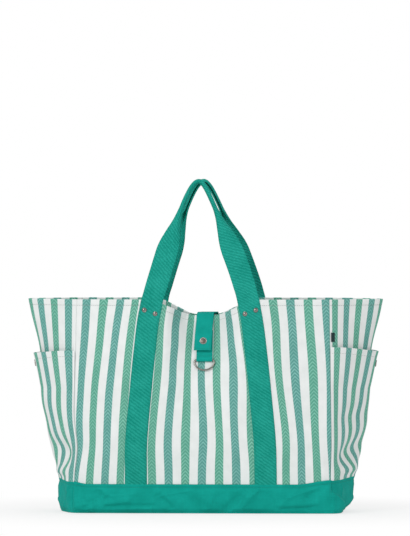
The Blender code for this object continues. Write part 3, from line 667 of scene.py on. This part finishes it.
def sideLift(q, z, side):                  # the ends of the base ride up towards the fold
    rising, fading = liftShare(z)
    lift = mix(endLift[side]["foot"], endLift[side]["top"], rising) * fading
    return mix(cornerLift(seamX(z) * (1 if side == "right" else -1), z), lift, inwards(q, 0.9))


def sideU(q, side):
    return (q + 1) / 2 * gusset["width"] + stripes[side]["more"] * (1 - q * q) + stripes[side]["start"]


def sidePoint(q, z, height, side, seed):
    q, z = np.broadcast_arrays(np.asarray(q, float), np.asarray(z, float))
    point = sideSkin(q, z) + sideOut(q, z) * (sideWave(q, z, side, seed) + height)[..., None]
    point[..., 2] += sideLift(q, z, side)
    return point


def sewGusset(side, flip, seed):
    q, z = np.meshgrid(spread(-1, 1, 110, 0.02) * gusset["open"], spread(drape["foot"], body["height"], 110))
    below = body["height"] - z
    groove, folded = hemmed(below)
    soft = edgeRound(toSeam(q), seamSink["edge"]) * edgeRound(below, hem["edge"])
    outer = sidePoint(q, z, half * soft - groove + folded * 0.3, side, seed)
    inner = sidePoint(q, z, -(half + folded) * soft, side, seed)
    piece = sewSheet(side + "Gusset", outer, inner, np.stack([sideU(q, side), z], -1), flip, canvas)
    dress(piece, "striped_canvas", side + "_gusset")


def sewPocket(side, flip, seed):
    q, up = np.meshgrid(spread(-1, 1, 110, 0.02) * gusset["open"], spread(0, 1, 90, 0.005))
    z = mix(body["bandTop"] - 0.001, pocketTop(q, side), up)
    below = pocketTop(q, side) - z
    groove = hemmed(below)[0]
    soft = edgeRound(toSeam(q), seamSink["edge"]) * edgeRound(below, hem["edge"])
    middle = half + pocketGape(q, z) + half
    outer = sidePoint(q, z, middle + half * soft - groove, side, seed)
    inner = sidePoint(q, z, middle - half * soft, side, seed)
    twist = stripes[side]["pull"] * smooth((0.125 - z) / 0.07) * (1 - q * q)
    uv = np.stack([sideU(q - twist, side) + stripes[side]["pocket"], z], -1)
    piece = sewSheet(side + "Pocket", outer, inner, uv, flip, canvas)
    dress(piece, "striped_canvas", side + "_pocket")


for side, (flip, seed) in sides.items():
    sewGusset(side, flip, seed)
    sewPocket(side, flip, seed)
print("gussets and pockets sewn")

# green base: four bands and a bottom
band = dict(thick=0.0026, wave=0.0020, waveRun=0.085, ridge=0.0022, ridgeRun=0.10, mark=0.0034, markSoft=0.0020,
            calm=0.0030, stitch=0.0055, groove=0.0010, foot=0.0002, seamEdge=0.0025, topEdge=0.0012,
            sideHalf=0.104)
footRound = (0.007, 0.0028)                # radius and depth of the bands' lower edge
cornerRound = {"right": (0.016, 0.008), "left": (0.004, 0.0012)}      # the same at the gussets' folds
# the right front corner is full at its foot, under a fold that slants down from the seam
cornerPad = dict(size=0.0085, width=0.20, top=0.036, reach=0.75, fold=0.010, fill=0.0058, fade=0.012)
# folds pressed into the front band: from, to (both x and height), width, height
folds = [(-0.203, 0.010, -0.178, 0.034, 0.0045, -0.0030), (-0.196, 0.010, -0.170, 0.034, 0.0060, 0.0030),
         (-0.176, 0.016, -0.128, 0.024, 0.0050, 0.0024), (-0.168, 0.012, -0.085, 0.013, 0.0036, -0.0014),
         (-0.160, 0.007, -0.090, 0.008, 0.0030, 0.0022), (-0.076, 0.029, -0.056, 0.012, 0.0050, -0.0030),
         (-0.064, 0.034, -0.040, 0.018, 0.0070, 0.0026), (0.046, 0.009, 0.074, 0.038, 0.0060, -0.0026),
         (0.060, 0.008, 0.090, 0.036, 0.0080, 0.0024), (0.132, 0.0085, 0.196, 0.0095, 0.0036, -0.0014),
         (0.136, 0.014, 0.200, 0.017, 0.0050, 0.0020), (0.184, 0.026, 0.212, 0.038, 0.0050, -0.0026),
         (-0.010, 0.034, 0.030, 0.016, 0.0080, 0.0020), (0.104, 0.036, 0.128, 0.014, 0.0070, -0.0020)]


def pressed(u, z):
    total = 0 * u
    for x0, z0, x1, z1, width, size in folds:
        t = np.clip(((u - x0) * (x1 - x0) + (z - z0) * (z1 - z0)) / ((x1 - x0) ** 2 + (z1 - z0) ** 2), 0, 1)
        far = np.hypot(u - x0 - t * (x1 - x0), z - z0 - t * (z1 - z0))
        total = total + size * np.exp(-(far / width) ** 2)
    return total


def bandHeight(u, z, seed):                # outer face of the band: creased, stitched down along its top
    top = body["bandTop"] - z
    room = smooth((top - 0.004) / 0.010) * smooth((z - 0.001) / 0.008)
    wave = band["wave"] * (1.2 + ripple(u, z * 1.6, band["waveRun"], seed)) * room
    ridge = band["ridge"] * creases(u + 0.6 * z, z * 1.7 - 0.25 * u, band["ridgeRun"], seed + 3) ** 3 * room
    marks = -band["calm"]
    if seed == ends["front"][1]:
        marks = band["mark"] * np.tanh(pressed(u, z) / band["markSoft"]) * room
    stitched = band["groove"] * hill(top, 0.0058, 0.0016)
    return second + band["thick"] + np.maximum(wave + ridge + marks, -0.0012) - stitched


def floorTuck(z, radius, depth):           # the lower edge turns in under the bag
    low = np.clip(1 - (z - body["foot"]) / radius, 0, 1)
    return -depth * (1 - np.sqrt(1 - 0.98 * low * low))


def cornerFill(gap, z):
    return cornerPad["fill"] * nearSeam(gap) * smooth((cornerPad["top"] - z) / cornerPad["fade"])


def frontTuck(x, z, filled):
    gap = seamX(z) - np.abs(x)
    return floorTuck(z, *footRound) + cornerSoft(gap, z) + np.where(filled, cornerFill(gap, z), 0)


def endTuck(q, z, side):
    past = smooth(1 - np.abs(q))
    tuck = floorTuck(z, *[mix(a, b, past) for a, b in zip(footRound, cornerRound[side])])
    if side == "left":
        return tuck
    off = np.maximum(q + 1, 0) / cornerPad["width"]
    below = cornerPad["top"] * (1 - (q + 1) / cornerPad["reach"]) - z
    pad = cornerPad["size"] * off * np.exp(1 - off) * smooth(below / cornerPad["fold"])
    return tuck + np.where(q < 0, cornerFill(toSeam(q), z), 0) + pad


def seamOpen(z):                           # the corner seams show at the top and close towards the floor
    return mix(0.1, 1.0, smooth((z - 0.020) / 0.025))


def bandEdge(gap, z):
    seam = np.maximum(edgeRound(gap, band["seamEdge"]), mix(1.0, 0.88, seamOpen(z)))
    return seam * edgeRound(body["bandTop"] - z, band["topEdge"])


def bandRows(across):
    return np.meshgrid(across, spread(band["foot"], body["bandTop"], 34))


def sewBand(end, flip, seed):
    share, z = bandRows(spread(-1, 1, 200, 0.006))
    x = share * (seamX(z) - seamOpen(z) * seamGap / 2)
    gap, skin, out = seamX(z) - np.abs(x), liftedSkin(x, z), frontOut(x, z)
    rise = mix(band["thick"], bandHeight(x, z, seed) - second, smooth(gap / 0.006))
    tuck = second + frontTuck(x, z, (x > 0) & (end == "front"))
    outer, inner = [skin + out * (tuck + up)[..., None] for up in (rise * bandEdge(gap, z), 0)]
    piece = sewSheet(end + "BaseBand", outer, inner, np.stack([x, z], -1), flip, baseCotton)
    dress(piece, "green_canvas", end + "_base_band")


def sewEndBand(side, flip, seed):
    q, z = bandRows(spread(-1, 1, 110, 0.02))
    q = q * mix(1.0, gusset["open"], seamOpen(z))
    rise = mix(band["thick"], bandHeight(q * body["baseHalfDepth"], z, seed) - second, inwards(q, 0.06))
    tuck = second + endTuck(q, z, side)
    outer, inner = [sidePoint(q, z, tuck + up, side, seed) for up in (rise * bandEdge(toSeam(q), z), 0)]
    piece = sewSheet(side + "BaseBand", outer, inner, np.stack([q * band["sideHalf"], z], -1), flip, baseCotton)
    dress(piece, "green_canvas", side + "_base_band")


for end, (flip, seed) in ends.items():
    sewBand(end, flip, seed)
for side, (flip, seed) in sides.items():
    sewEndBand(side, flip, seed)

# the bottom and its board: lower and upper face, how far inside the bands' feet, and sag
bottom = dict(low=0.0004, high=0.0020, inset=(0.0, 0.0), sag=0.0003, seat=0.001, z=0.0012)
stiffener = dict(low=0.0030, high=0.0052, inset=(0.0150, 0.0085), sag=0.0)


def layFlat(name, sheet, material):        # a flat piece out to the foot of the bands, lifted at its ends
    across, along = np.meshgrid(spread(-1, 1, 90, 0.01), spread(-1, 1, 60, 0.02))
    z, seat = np.full_like(across, bottom["z"]), second + bottom["seat"]
    feet = {side: sidePoint(along, z, seat + endTuck(along, z, side), side, seed)
            for side, (flip, seed) in sides.items()}
    left, right = feet["left"], feet["right"]
    share, edge = (across + 1) / 2, across * seamX(z)
    tuck = frontTuck(edge, z, (across > 0) & (along < 0))
    deep = -(frontSkin(edge, z) + frontOut(edge, z) * (seat + tuck)[..., None])[..., 1]
    deep = deep - mix(deep[:, :1], deep[:, -1:], share)
    x = across * (np.where(across < 0, left[..., 0], right[..., 0]) - sheet["inset"][0])
    y = mix(left[..., 1], right[..., 1], share) + along * (deep - sheet["inset"][1])
    past = smooth((np.abs(x) - 0.19) / 0.06) * inwards(along, 0.9)
    lift = np.where(x > 0, endLift["right"]["foot"], endLift["left"]["foot"]) * past
    sag = sheet["sag"] * (1 + ripple(x, y, 0.12, 91)) * inwards(across, 0.2) * inwards(along, 0.3)
    faces = [np.stack([x, y, level + lift + sag], -1) for level in (sheet["high"], sheet["low"])]
    return clothSolid(name, *faces, np.stack([x, y], -1), material)


def sewBottom():
    piece = layFlat("bottomPanel", bottom, baseCotton)
    dress(piece, "green_canvas", "bottom_panel")
    dress(layFlat("baseBoard", stiffener, board), "grey_board", "base_board")


sewBottom()
print("base sewn")

# webbing: one length for each pair of straps and their handle
handle = dict(reach=0.2235, round=0.25, gripWidth=0.012, gripThick=0.008, foldStart=0.083, foldLength=0.085,
              gap=0.0004, hingeY=0.086897, curl=5.1, slim=0.40, deep=0.72, forward=0.0030, bow=0.0018,
              bendAbove=0.010)
clear = 0.0001                             # room between a strap or a stitch and the cloth under it
strapMid = half + strap["thick"] / 2 + clear
gripReach = math.hypot(handle["reach"], handle["gripThick"] / 2)
lean = math.asin((handle["hingeY"] - handle["gap"]) / gripReach) \
    - math.atan2(handle["gripThick"] / 2, handle["reach"])
rise = handle["reach"] - handle["gripWidth"] / 2


def handleAt(s, shift, end):               # centre line in the handle's own leaning plane
    top = math.sqrt(1 + handle["round"] ** 2)
    fall = (np.sqrt(s * s + handle["round"] ** 2) - handle["round"]) / (top - handle["round"])
    up = rise * (1 - fall)
    rimX = np.where(s < 0, straps[end][-1][-1], straps[end][1][-1])
    share = up / rise
    bow = handle["bow"] * 6.75 * share * (1 - share) ** 2      # the legs stand a little outwards above the rim
    return np.stack([rimX * s + np.sign(s) * bow + shift * smooth(share), up], -1)


def webbingRows(end, side, shift, seed):   # outer and inner face of one strap and its half of the handle
    k = np.linspace(-1, 1, 25)[None, :]        # from the outer edge to the edge nearest the middle
    soft = edgeRound((1 - np.abs(k)) * strap["width"] / 2, strap["edge"]) * strap["thick"] / 2
    z = np.linspace(body["bandTop"] - strap["under"], strap["hingeZ"] - strap["bendBelow"], 110)[:, None]
    x = side * (strapX(z, end, side) - k * strap["width"] / 2)
    sewn = [onFront(x, z, half + clear + high, seed) for high in (2 * soft, 0 * soft)]
    s = side * np.linspace(1, 0, 150)
    plane = handleAt(s, shift, end)
    ahead = unit(handleAt(s - side * 0.002, shift, end) - handleAt(s + side * 0.002, shift, end))
    flatOn = 1 - smooth(plane[:, 1] / (strap["width"] * 0.9))
    inX, inUp = mix(-side * ahead[:, 1], -side, flatOn), mix(side * ahead[:, 0], 0.0, flatOn)
    across, face = np.array([1.0, 0, 0]), np.array([0, -math.cos(lean), math.sin(lean)])
    up = np.array([0, math.sin(lean), math.cos(lean)])
    centre = np.array([0, -handle["hingeY"], strap["hingeZ"]]) + plane[:, :1] * across + plane[:, 1:] * up
    inward = unit(inX[:, None] * across + inUp[:, None] * up)
    t = np.clip((plane[:, 1:] - handle["foldStart"]) / handle["foldLength"], 0, 1)
    fold = 1 - (1 - t ** 1.6) ** 1.25
    bend = np.maximum(fold, 0.02) * handle["curl"]
    turn = k * bend / 2
    a, b = np.sin(turn) / bend, np.cos(turn) / bend
    b = b - b.mean(1, keepdims=True)
    a = a * strap["width"] * mix(1.0, handle["slim"], fold)
    b = b * strap["width"] * mix(1.0, handle["deep"], fold) + handle["forward"] * fold
    nearA, nearB = np.gradient(a, axis=1), np.gradient(b, axis=1)
    length = np.hypot(nearA, nearB)
    keep, legs = plane[:, 1] > handle["bendAbove"], []
    for way in (1, -1):
        aa, bb = a - nearB / length * soft * way, b + nearA / length * soft * way
        legs.append((centre[:, None] + inward[:, None] * aa[..., None] + face * bb[..., None])[keep])
    rows = []
    t = np.linspace(0, 1, 9)[1:-1, None, None]
    for low, high in zip(sewn, legs):          # the soft bend over the rim
        far = np.linalg.norm(high[0] - low[-1], axis=-1, keepdims=True)
        begin, finish = unit(low[-1] - low[-3]) * far, unit(high[2] - high[0]) * far
        bent = (2 * t ** 3 - 3 * t ** 2 + 1) * low[-1] + (t ** 3 - 2 * t ** 2 + t) * begin \
            + (3 * t ** 2 - 2 * t ** 3) * high[0] + (t ** 3 - t ** 2) * finish
        rows.append(np.concatenate([low, bent, high]))
    return rows


def weaveWebbing(end, shift, flip, seed):
    left, right = webbingRows(end, -1, shift, seed), webbingRows(end, 1, shift, seed)
    outer, inner = [np.concatenate([a, b[::-1][1:]]) * flip for a, b in zip(left, right)]
    run = runAlong(outer[:, 12])
    k = np.linspace(-1, 1, outer.shape[1])[None, :]
    uv = np.stack(np.broadcast_arrays(k * strap["width"] / 2, run[:, None]), -1)
    piece = turnOut(clothSolid(end + "Webbing", outer, inner, uv, twillWebbing))
    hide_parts(end + "_left_strap", end + "_right_strap", end + "_handle")
    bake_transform(piece)


peakShift = {"front": -0.0108, "back": -0.0034}
for end, (flip, seed) in ends.items():
    weaveWebbing(end, peakShift[end], flip, seed)
print("webbing woven")

# rivets where the straps leave the rim
rivet = dict(below=0.022, spread=0.0100, slant=0.0032, head=0.0042, dome=0.0019)


def setRivets():
    points, facing, nodes = [], [], []
    for end, (flip, seed) in ends.items():
        for side in (-1, 1):
            for spot in (-1, 1):
                z = body["height"] - rivet["below"] + spot * rivet["slant"]
                x = side * (strapX(z, end, side) + spot * rivet["spread"])
                points.append(onFront(x, z, strapMid + strap["thick"] / 2, seed, flip).tolist())
                facing.append((frontOut(np.array(x), np.array(z)) * flip).tolist())
                tag = "_".join([end, "left" if side < 0 else "right", "inner" if spot < 0 else "outer", "rivet"])
                nodes += [tag, tag + "_burr"]
    r, d, deep = rivet["head"], rivet["dome"], -(second + strap["thick"] + half + 0.0003)
    profile = [(0, deep - 0.0011), (0.0030, deep - 0.0011), (0.0036, deep - 0.0006), (0.0036, deep), (0.0015, deep),
               (0.0015, 0), (r * 0.94, 0), (r, 0.0003), (r, 0.0006), (r * 0.96, 0.0010), (r * 0.88, 0.0012),
               (r * 0.80, 0.0008), (r * 0.70, 0.0011), (r * 0.45, d * 0.9), (r * 0.2, d), (0, d)]
    shape = lathe("rivetShape", profile, Matrix.Identity(4), rivetNickel, 24)
    mesh = bpy.data.meshes.new("rivetHeads")
    mesh.from_pydata(points, [], [])
    mesh.attributes.new("facing", "FLOAT_VECTOR", "POINT").data.foreach_set("vector", np.array(facing).ravel())
    made = grow(addObject("rivetHeads", mesh), rivetNodes, {"Rivet": shape, "Plating": rivetNickel})
    bpy.data.objects.remove(shape)
    dress(made, "nickel", *nodes)


setRivets()

# closing tab, ring tab and ring
tab = dict(width=0.030, thick=0.0020, endZ=0.2815, rootLength=0.045, snapZ=0.300, hinge=(0.0, 0.040808, 0.348964),
           start=0.0090, lean=0.0101, snapGap=0.0045, snapFlat=0.0052, crown=0.006, knee=(-0.0005, 0.0051))
ring = dict(barZ=0.2665, halfWidth=0.0172, drop=0.0185, wire=0.0015, centre=(0.0, -0.0735, 0.267889),
            tabThick=0.0010, shift=0.0025, tabTop=0.318)


def centreAt(z, height):
    return onFront(0.0, z, height, ends["front"][1])


def strip(name, path, width, thick, start, lean, material):   # a flat strip along a path in the mid plane
    path = np.asarray(path)
    ahead = unit(np.gradient(path, axis=0))
    out = np.stack([0 * ahead[:, 0], -ahead[:, 2], ahead[:, 1]], -1)
    k = spread(-1, 1, 17, 0.08)[None, :]
    run = runAlong(path)
    toEnd = np.minimum(run, run[-1] - run)[:, None]
    soft = edgeRound((1 - np.abs(k)) * width / 2, 0.0011) * edgeRound(toEnd, 0.0010) * thick / 2
    shift = start + lean * (run / run[-1])[:, None] + k * width / 2
    base = path[:, None] + np.stack([shift, 0 * shift, 0 * shift], -1)
    uv = np.stack(np.broadcast_arrays(k * width / 2, run[:, None]), -1)
    outer, inner = [base + out[:, None] * (way * soft)[..., None] for way in (1, -1)]
    return turnOut(clothSolid(name, outer, inner, uv, material)), outer


def dense(path, gap=0.0012):               # the same path with even close points
    path = np.asarray(path)
    run = runAlong(path)
    at = spread(0, run[-1], int(run[-1] / gap), 0.0012)
    return np.stack([np.interp(at, run, path[:, k]) for k in range(3)], -1)


tabHalf, plyHalf = tab["thick"] / 2, ring["tabThick"] / 2
innerPly = second + plyHalf                # the ring tab's two plies, and the closing tab over them
outerPly = innerPly + ring["tabThick"] + body["layerGap"]
overSnap = outerPly + plyHalf + tab["snapGap"] + tabHalf


def sewClosingTab():                       # from its root on the back, over the rim, and down the front
    rimCentre, low, hinge = float(rimZ(0.0)), second + tabHalf, np.array(tab["hinge"])
    root = centreAt(np.linspace(rimCentre - tab["rootLength"], rimCentre - 0.002, 20), low) * ends["back"][0]
    z = np.linspace(rimCentre - 2 * tabHalf, tab["endZ"], 40)
    front = centreAt(z, mix(low, overSnap, smooth((rimCentre - z) / (rimCentre - tab["snapZ"] - tab["snapFlat"]))))
    shoulder = front[0]
    t = np.linspace(0, 1, 30)[:, None]
    crown = mix(hinge[2], shoulder[2] + tab["crown"], smooth(t))
    over = np.concatenate([0 * t, mix(hinge[1], shoulder[1], t), crown], 1)
    over = over[(t[:, 0] > 0.06) & (t[:, 0] < 0.86)]
    t = np.linspace(0, 1, 8)[1:-1, None]
    knee = shoulder * (0, 1, 1) + (0, *tab["knee"])
    bend = over[-1] * (1 - t) ** 2 + knee * 2 * t * (1 - t) + shoulder * t * t
    path = dense(np.concatenate([root, over, bend, front]))
    piece, face = strip("closingTab", path, tab["width"], tab["thick"], tab["start"], -tab["lean"], baseCotton)
    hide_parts("closing_tab", "closing_tab_root")
    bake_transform(piece)
    return path, face


def sewRingTab():                          # down behind the ring's bar, round it and up again
    centre, wrap = np.array(ring["centre"]), ring["wire"] + body["layerGap"] + plyHalf
    out = frontOut(np.array(0.0), np.array(ring["barZ"]))
    up = np.array([0, out[2], -out[1]])
    a = np.radians(np.linspace(20, 160, 14))[:, None]
    loop = centre - out * wrap * np.cos(a) - up * wrap * np.sin(a)
    share = np.linspace(0, 1, 10)
    z = mix(ring["barZ"], ring["barZ"] + 4 * wrap, share)
    tail = centreAt(z, mix(innerPly + 2 * wrap, outerPly, smooth(share)))
    path = np.concatenate([centreAt(np.linspace(ring["tabTop"], ring["barZ"], 20), innerPly), loop, tail,
                           centreAt(np.linspace(z[-1], ring["tabTop"], 14)[1:], outerPly)])
    piece, face = strip("ringTab", dense(path, 0.0008), tab["width"] - 0.002, ring["tabThick"] * 1.3,
                        ring["shift"], 0.0, baseCotton)
    dress(piece, "green_webbing", "ring_tab")
    return face


tabPath, tabFace = sewClosingTab()
loopFace = sewRingTab()


def bendRing():
    w, d, corner = ring["halfWidth"], ring["drop"], ring["halfWidth"] * 0.2
    flat = [(k, 0.0) for k in np.linspace(-w + corner, w - corner, 20)]
    a = np.linspace(0, np.pi / 2, 8)[1:]
    flat += [(w - corner + corner * np.sin(t), -corner + corner * np.cos(t)) for t in a]
    flat += [(w * np.cos(t), -corner - (d - corner) * np.sin(t)) for t in np.linspace(0, np.pi, 48)[1:-1]]
    flat += [(-w + corner - corner * np.sin(t), -corner + corner * np.cos(t)) for t in a[::-1]]
    flat = np.array(flat)
    line = np.stack([flat[:, 0], 0 * flat[:, 0], flat[:, 1]], -1)
    ahead = unit(np.roll(line, -1, 0) - np.roll(line, 1, 0))
    out = np.array([0, 1.0, 0])
    side = np.cross(ahead, out)
    turn = np.linspace(0, 2 * np.pi, 16, endpoint=False)[None, :, None]
    rings = line[:, None] + (out * np.cos(turn) + side[:, None] * np.sin(turn)) * ring["wire"]
    made = turnOut(tube("dRing", rings, ringNickel, capped=False))
    face = frontOut(np.array(0.0), np.array(ring["barZ"]))
    tilt = math.atan2(face[2], -face[1])
    place = Matrix.Translation(Vector(ring["centre"]) + Vector((ring["shift"], 0, 0)))
    made.data.transform(place @ Matrix.Rotation(-tilt, 4, "X"))
    dress(made, "nickel", "d_ring", rider="d_ring")


bendRing()

# snap caps: a rolled rim round a dished, worn face
snapCap = dict(radius=0.00625, dome=0.0018, lower=0.0028, along=0.87)


def pressCap(name, place, rider, node):
    r, d = snapCap["radius"], snapCap["dome"]
    rim = [(0, -0.0004), (r * 0.86, -0.0004), (r * 0.97, 0.0001), (r, 0.0007), (r * 0.97, 0.0013), (r * 0.9, 0.0016),
           (r * 0.82, 0.0015), (r * 0.78, 0.0011), (r * 0.7, 0.0011), (0, 0.0012)]
    face = [(0, 0.0011), (r * 0.76, 0.0009), (r * 0.74, 0.0012), (r * 0.6, d * 0.86), (r * 0.35, d * 0.96), (0, d)]
    dress(lathe(name + "Rim", rim, place, nickel), "nickel", node, rider=rider)
    dress(lathe(name + "Face", face, place, wornNickel), "nickel", rider=rider)


at = np.array(tab["snapZ"] - snapCap["lower"])
seatPoint = centreAt(at, overSnap + tabHalf) + np.array([tab["start"] - tab["lean"] * snapCap["along"], 0, 0])
pressCap("closingSnap", placeOn(seatPoint, frontOut(np.array(0.0), at)), "closing_tab", "closing_snap_cap")
for side, (flip, seed) in sides.items():
    z = np.array(pocket["top"] - pocket["snapBelow"])
    seat = half + pocketGape(0.0, z) + body["canvas"]
    spot = sidePoint(0.0, z, seat, side, seed) * flip
    face = sideOut(np.array(0.0), z) * flip
    pressCap(side + "PocketSnap", placeOn(spot, face), "bag_body", side + "_pocket_snap_cap")
    ply = -body["canvas"]                        # socket, stud and back plate, in and behind the pocket
    stud = ply - float(pocketGape(0.0, z))
    back = stud + ply
    profile = [(0, back - 0.0009), (0.0048, back - 0.0009), (0.0053, back - 0.0005), (0.0053, back), (0.0012, back),
               (0.0012, stud), (0.0047, stud), (0.0047, stud + 0.0010), (0.0026, stud + 0.0016),
               (0.0026, ply - 0.0030), (0.0050, ply - 0.0030), (0.0053, ply - 0.0026), (0.0053, ply), (0.0012, ply),
               (0.0012, 0), (0, 0)]
    inner = lathe(side + "PocketSnapInner", profile, placeOn(spot, face), nickel)
    dress(inner, "nickel", *[side + "_pocket_snap_" + part for part in ("socket", "stud", "back")])
print("hardware set")

# a small bare label in the right front seam, folded in two
label = dict(z=0.308, height=0.016, width=0.0052, ply=0.0004, bend=0.0005, atSeam=-0.985)


def sewLabel():
    w, r, seed = label["width"], label["bend"], sides["right"][1]
    turn = np.linspace(0, np.pi, 10)[1:-1]
    out = np.concatenate([np.linspace(0, w - r, 8), w - r + r * np.sin(turn), np.linspace(w - r, 0, 8)])
    high = np.concatenate([np.zeros(8), r - r * np.cos(turn), np.full(8, 2 * r)]) + second + 0.0004
    ahead = unit(np.gradient(np.stack([out, high], -1), axis=0))
    rows = np.linspace(label["z"] - label["height"] / 2, label["z"] + label["height"] / 2, 20)[:, None]
    faces = []
    for off in (label["ply"] / 2, -label["ply"] / 2):
        q = label["atSeam"] + (out + ahead[:, 1] * off) / body["baseHalfDepth"]
        faces.append(sidePoint(q[None, :], rows, (high - ahead[:, 0] * off)[None, :], "right", seed))
    run = np.linspace(0, 2 * w, len(out))[None, :]
    uv = np.stack(np.broadcast_arrays(run, rows), -1)
    piece = turnOut(clothSolid("sideLabel", *faces, uv, labelTape))
    dress(piece, "dark_label", "side_label")


sewLabel()


# topstitching
def stitchAll():
    pale, green = [], []
    wide = strap["width"] / 2
    for end, (flip, seed) in ends.items():
        for side in (-1, 1):
            middle = strapX(body["height"], end, side)
            hemRuns = ((middle + wide + stitch["toStrap"], body["rimHalfWidth"] - stitch["toSeam"], 60),
                       (stitch["toMiddle"], middle - wide - stitch["toStrap"], 40))
            for first, last, count in hemRuns:
                x = side * np.linspace(first, last, count)
                pale.append(onFront(x, rimZ(x) - hem["depth"], half + clear, seed, flip))
            z = np.linspace(body["bandTop"] + 0.002, body["height"] - 0.004, 120)
            for edge in (-1, 1):
                x = side * strapX(z, end, side) + edge * (wide - stitch["inStrap"])
                green.append(onFront(x, z, strapMid + strap["thick"] / 2, seed, flip))
        x = np.linspace(-1, 1, 160) * (body["baseHalfWidth"] - stitch["toCorner"])
        z = np.full_like(x, body["bandTop"] - band["stitch"])
        green.append((liftedSkin(x, z) + frontOut(x, z) * (bandHeight(x, z, seed) + clear)[:, None]) * flip)
    for side, (flip, seed) in sides.items():
        q = np.linspace(-0.98, 0.98, 120)
        pale.append(sidePoint(q, body["height"] - hem["depth"], half + clear, side, seed) * flip)
        z = pocketTop(q, side) - hem["depth"]
        seat = half + pocketGape(q, z) + body["canvas"] - hem["groove"] + 0.0002
        pale.append(sidePoint(q, z, seat, side, seed) * flip)
        z = np.full_like(q, body["bandTop"] - band["stitch"])
        high = bandHeight(q * body["baseHalfDepth"], z, seed) + clear
        green.append(sidePoint(q, z, high, side, seed) * flip)
    face = tabFace - np.array([0, tab["thick"] + clear, 0])      # the tab's front face
    shown = (tabPath[:, 1] < -0.02) & (tabPath[:, 2] < rimZ(0.0) - 0.004)
    run = np.linalg.norm(np.diff(tabPath, axis=0), axis=1)[::-1].cumsum()[::-1]
    row = int((run > stitch["toTabEnd"]).sum())
    onTab = [face[shown, 4][:-4], face[shown, -5][:-4], face[row, 4:-4]]
    middle = len(loopFace) // 2              # the front ply is the later half of the loop
    front = middle + np.abs(loopFace[middle:, 8, 2] - ring["barZ"] - stitch["overRing"]).argmin()
    green.append(loopFace[front, 3:-3] - np.array([0, clear, 0]))
    for name, lines, thread, slotName, rider in (("hemStitches", pale, paleThread, "striped_canvas", "bag_body"),
                                                 ("greenStitches", green, greenThread, "green_webbing", "bag_body"),
                                                 ("tabStitches", onTab, greenThread, "green_webbing", "closing_tab")):
        dress(sew(name, lines, thread), slotName, rider=rider)


stitchAll()
print("stitched")

# the closing snap's inner parts stay as they were packed, and get a real finish
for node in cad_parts.values():
    if not node.hide_render:
        node.data.materials.clear()
        node.data.materials.append(nickel)

# floor, backdrop and light
stageLook = dict(floor="#F4F4F4", world=0.50, key=46.0, fill=12.0, top=16.0)


def makeStage():
    scene = bpy.context.scene
    scene.view_settings.view_transform = "Standard"
    made, tree, shader = newMaterial("paleFloor")
    setInputs(tree, shader, {"Base Color": linear(stageLook["floor"]), "Roughness": 0.9})
    ray = addNode(tree, "ShaderNodeLightPath")
    seen = addNode(tree, "ShaderNodeMath", {0: ray.outputs["Is Camera Ray"], 1: ray.outputs["Is Glossy Ray"]}, out=0,
                   operation="MAXIMUM")
    glow = addNode(tree, "ShaderNodeEmission", {"Color": (1, 1, 1, 1), "Strength": 1.0}, out="Emission")
    place = addNode(tree, "ShaderNodeTexCoord", out="Object")
    far = addNode(tree, "ShaderNodeVectorMath", {0: place}, out="Value", operation="LENGTH")
    fade = addNode(tree, "ShaderNodeMapRange", {"Value": far, "From Min": 0.25, "From Max": 0.7, "To Min": 0.70},
                   out="Result", interpolation_type="SMOOTHSTEP")
    share = addNode(tree, "ShaderNodeMath", {0: seen, 1: fade}, out=0, operation="MULTIPLY")
    mixed = addNode(tree, "ShaderNodeMixShader", {0: share, 1: shader.outputs["BSDF"], 2: glow}, out="Shader")
    tree.links.new(mixed, tree.nodes["Material Output"].inputs["Surface"])
    bpy.ops.mesh.primitive_plane_add(size=60, location=(0, 0, -0.0005))
    floor = bpy.context.object
    floor.name = "studioFloor"
    floor.data.materials.append(made)
    world = bpy.data.worlds.new("studioWorld")
    world.use_nodes = True
    scene.world = world
    sky = world.node_tree
    sky.nodes.clear()
    ray = addNode(sky, "ShaderNodeLightPath")
    seen = addNode(sky, "ShaderNodeMath", {0: ray.outputs["Is Camera Ray"], 1: ray.outputs["Is Transmission Ray"]},
                   out=0, operation="MAXIMUM")
    strength = addNode(sky, "ShaderNodeMapRange", {"Value": seen, "To Min": stageLook["world"], "To Max": 1.0},
                       out="Result")
    back = addNode(sky, "ShaderNodeBackground", {"Color": (1, 1, 1, 1), "Strength": strength}, out="Background")
    addNode(sky, "ShaderNodeOutputWorld", {"Surface": back})
    for name, place, size, power in (("keyLight", (-1.6, -2.6, 2.2), 1.6, stageLook["key"]),
                                     ("fillLight", (2.4, -2.0, 1.2), 2.0, stageLook["fill"]),
                                     ("topLight", (0.2, 0.6, 2.8), 2.0, stageLook["top"])):
        lamp = bpy.data.lights.new(name, "AREA")
        lamp.size = size
        lamp.energy = power
        lit = addObject(name, lamp)
        lit.location = place
        lit.rotation_euler = (Vector((0, 0, 0.25)) - Vector(place)).to_track_quat("-Z", "Y").to_euler()


makeStage()
print("stage lit")
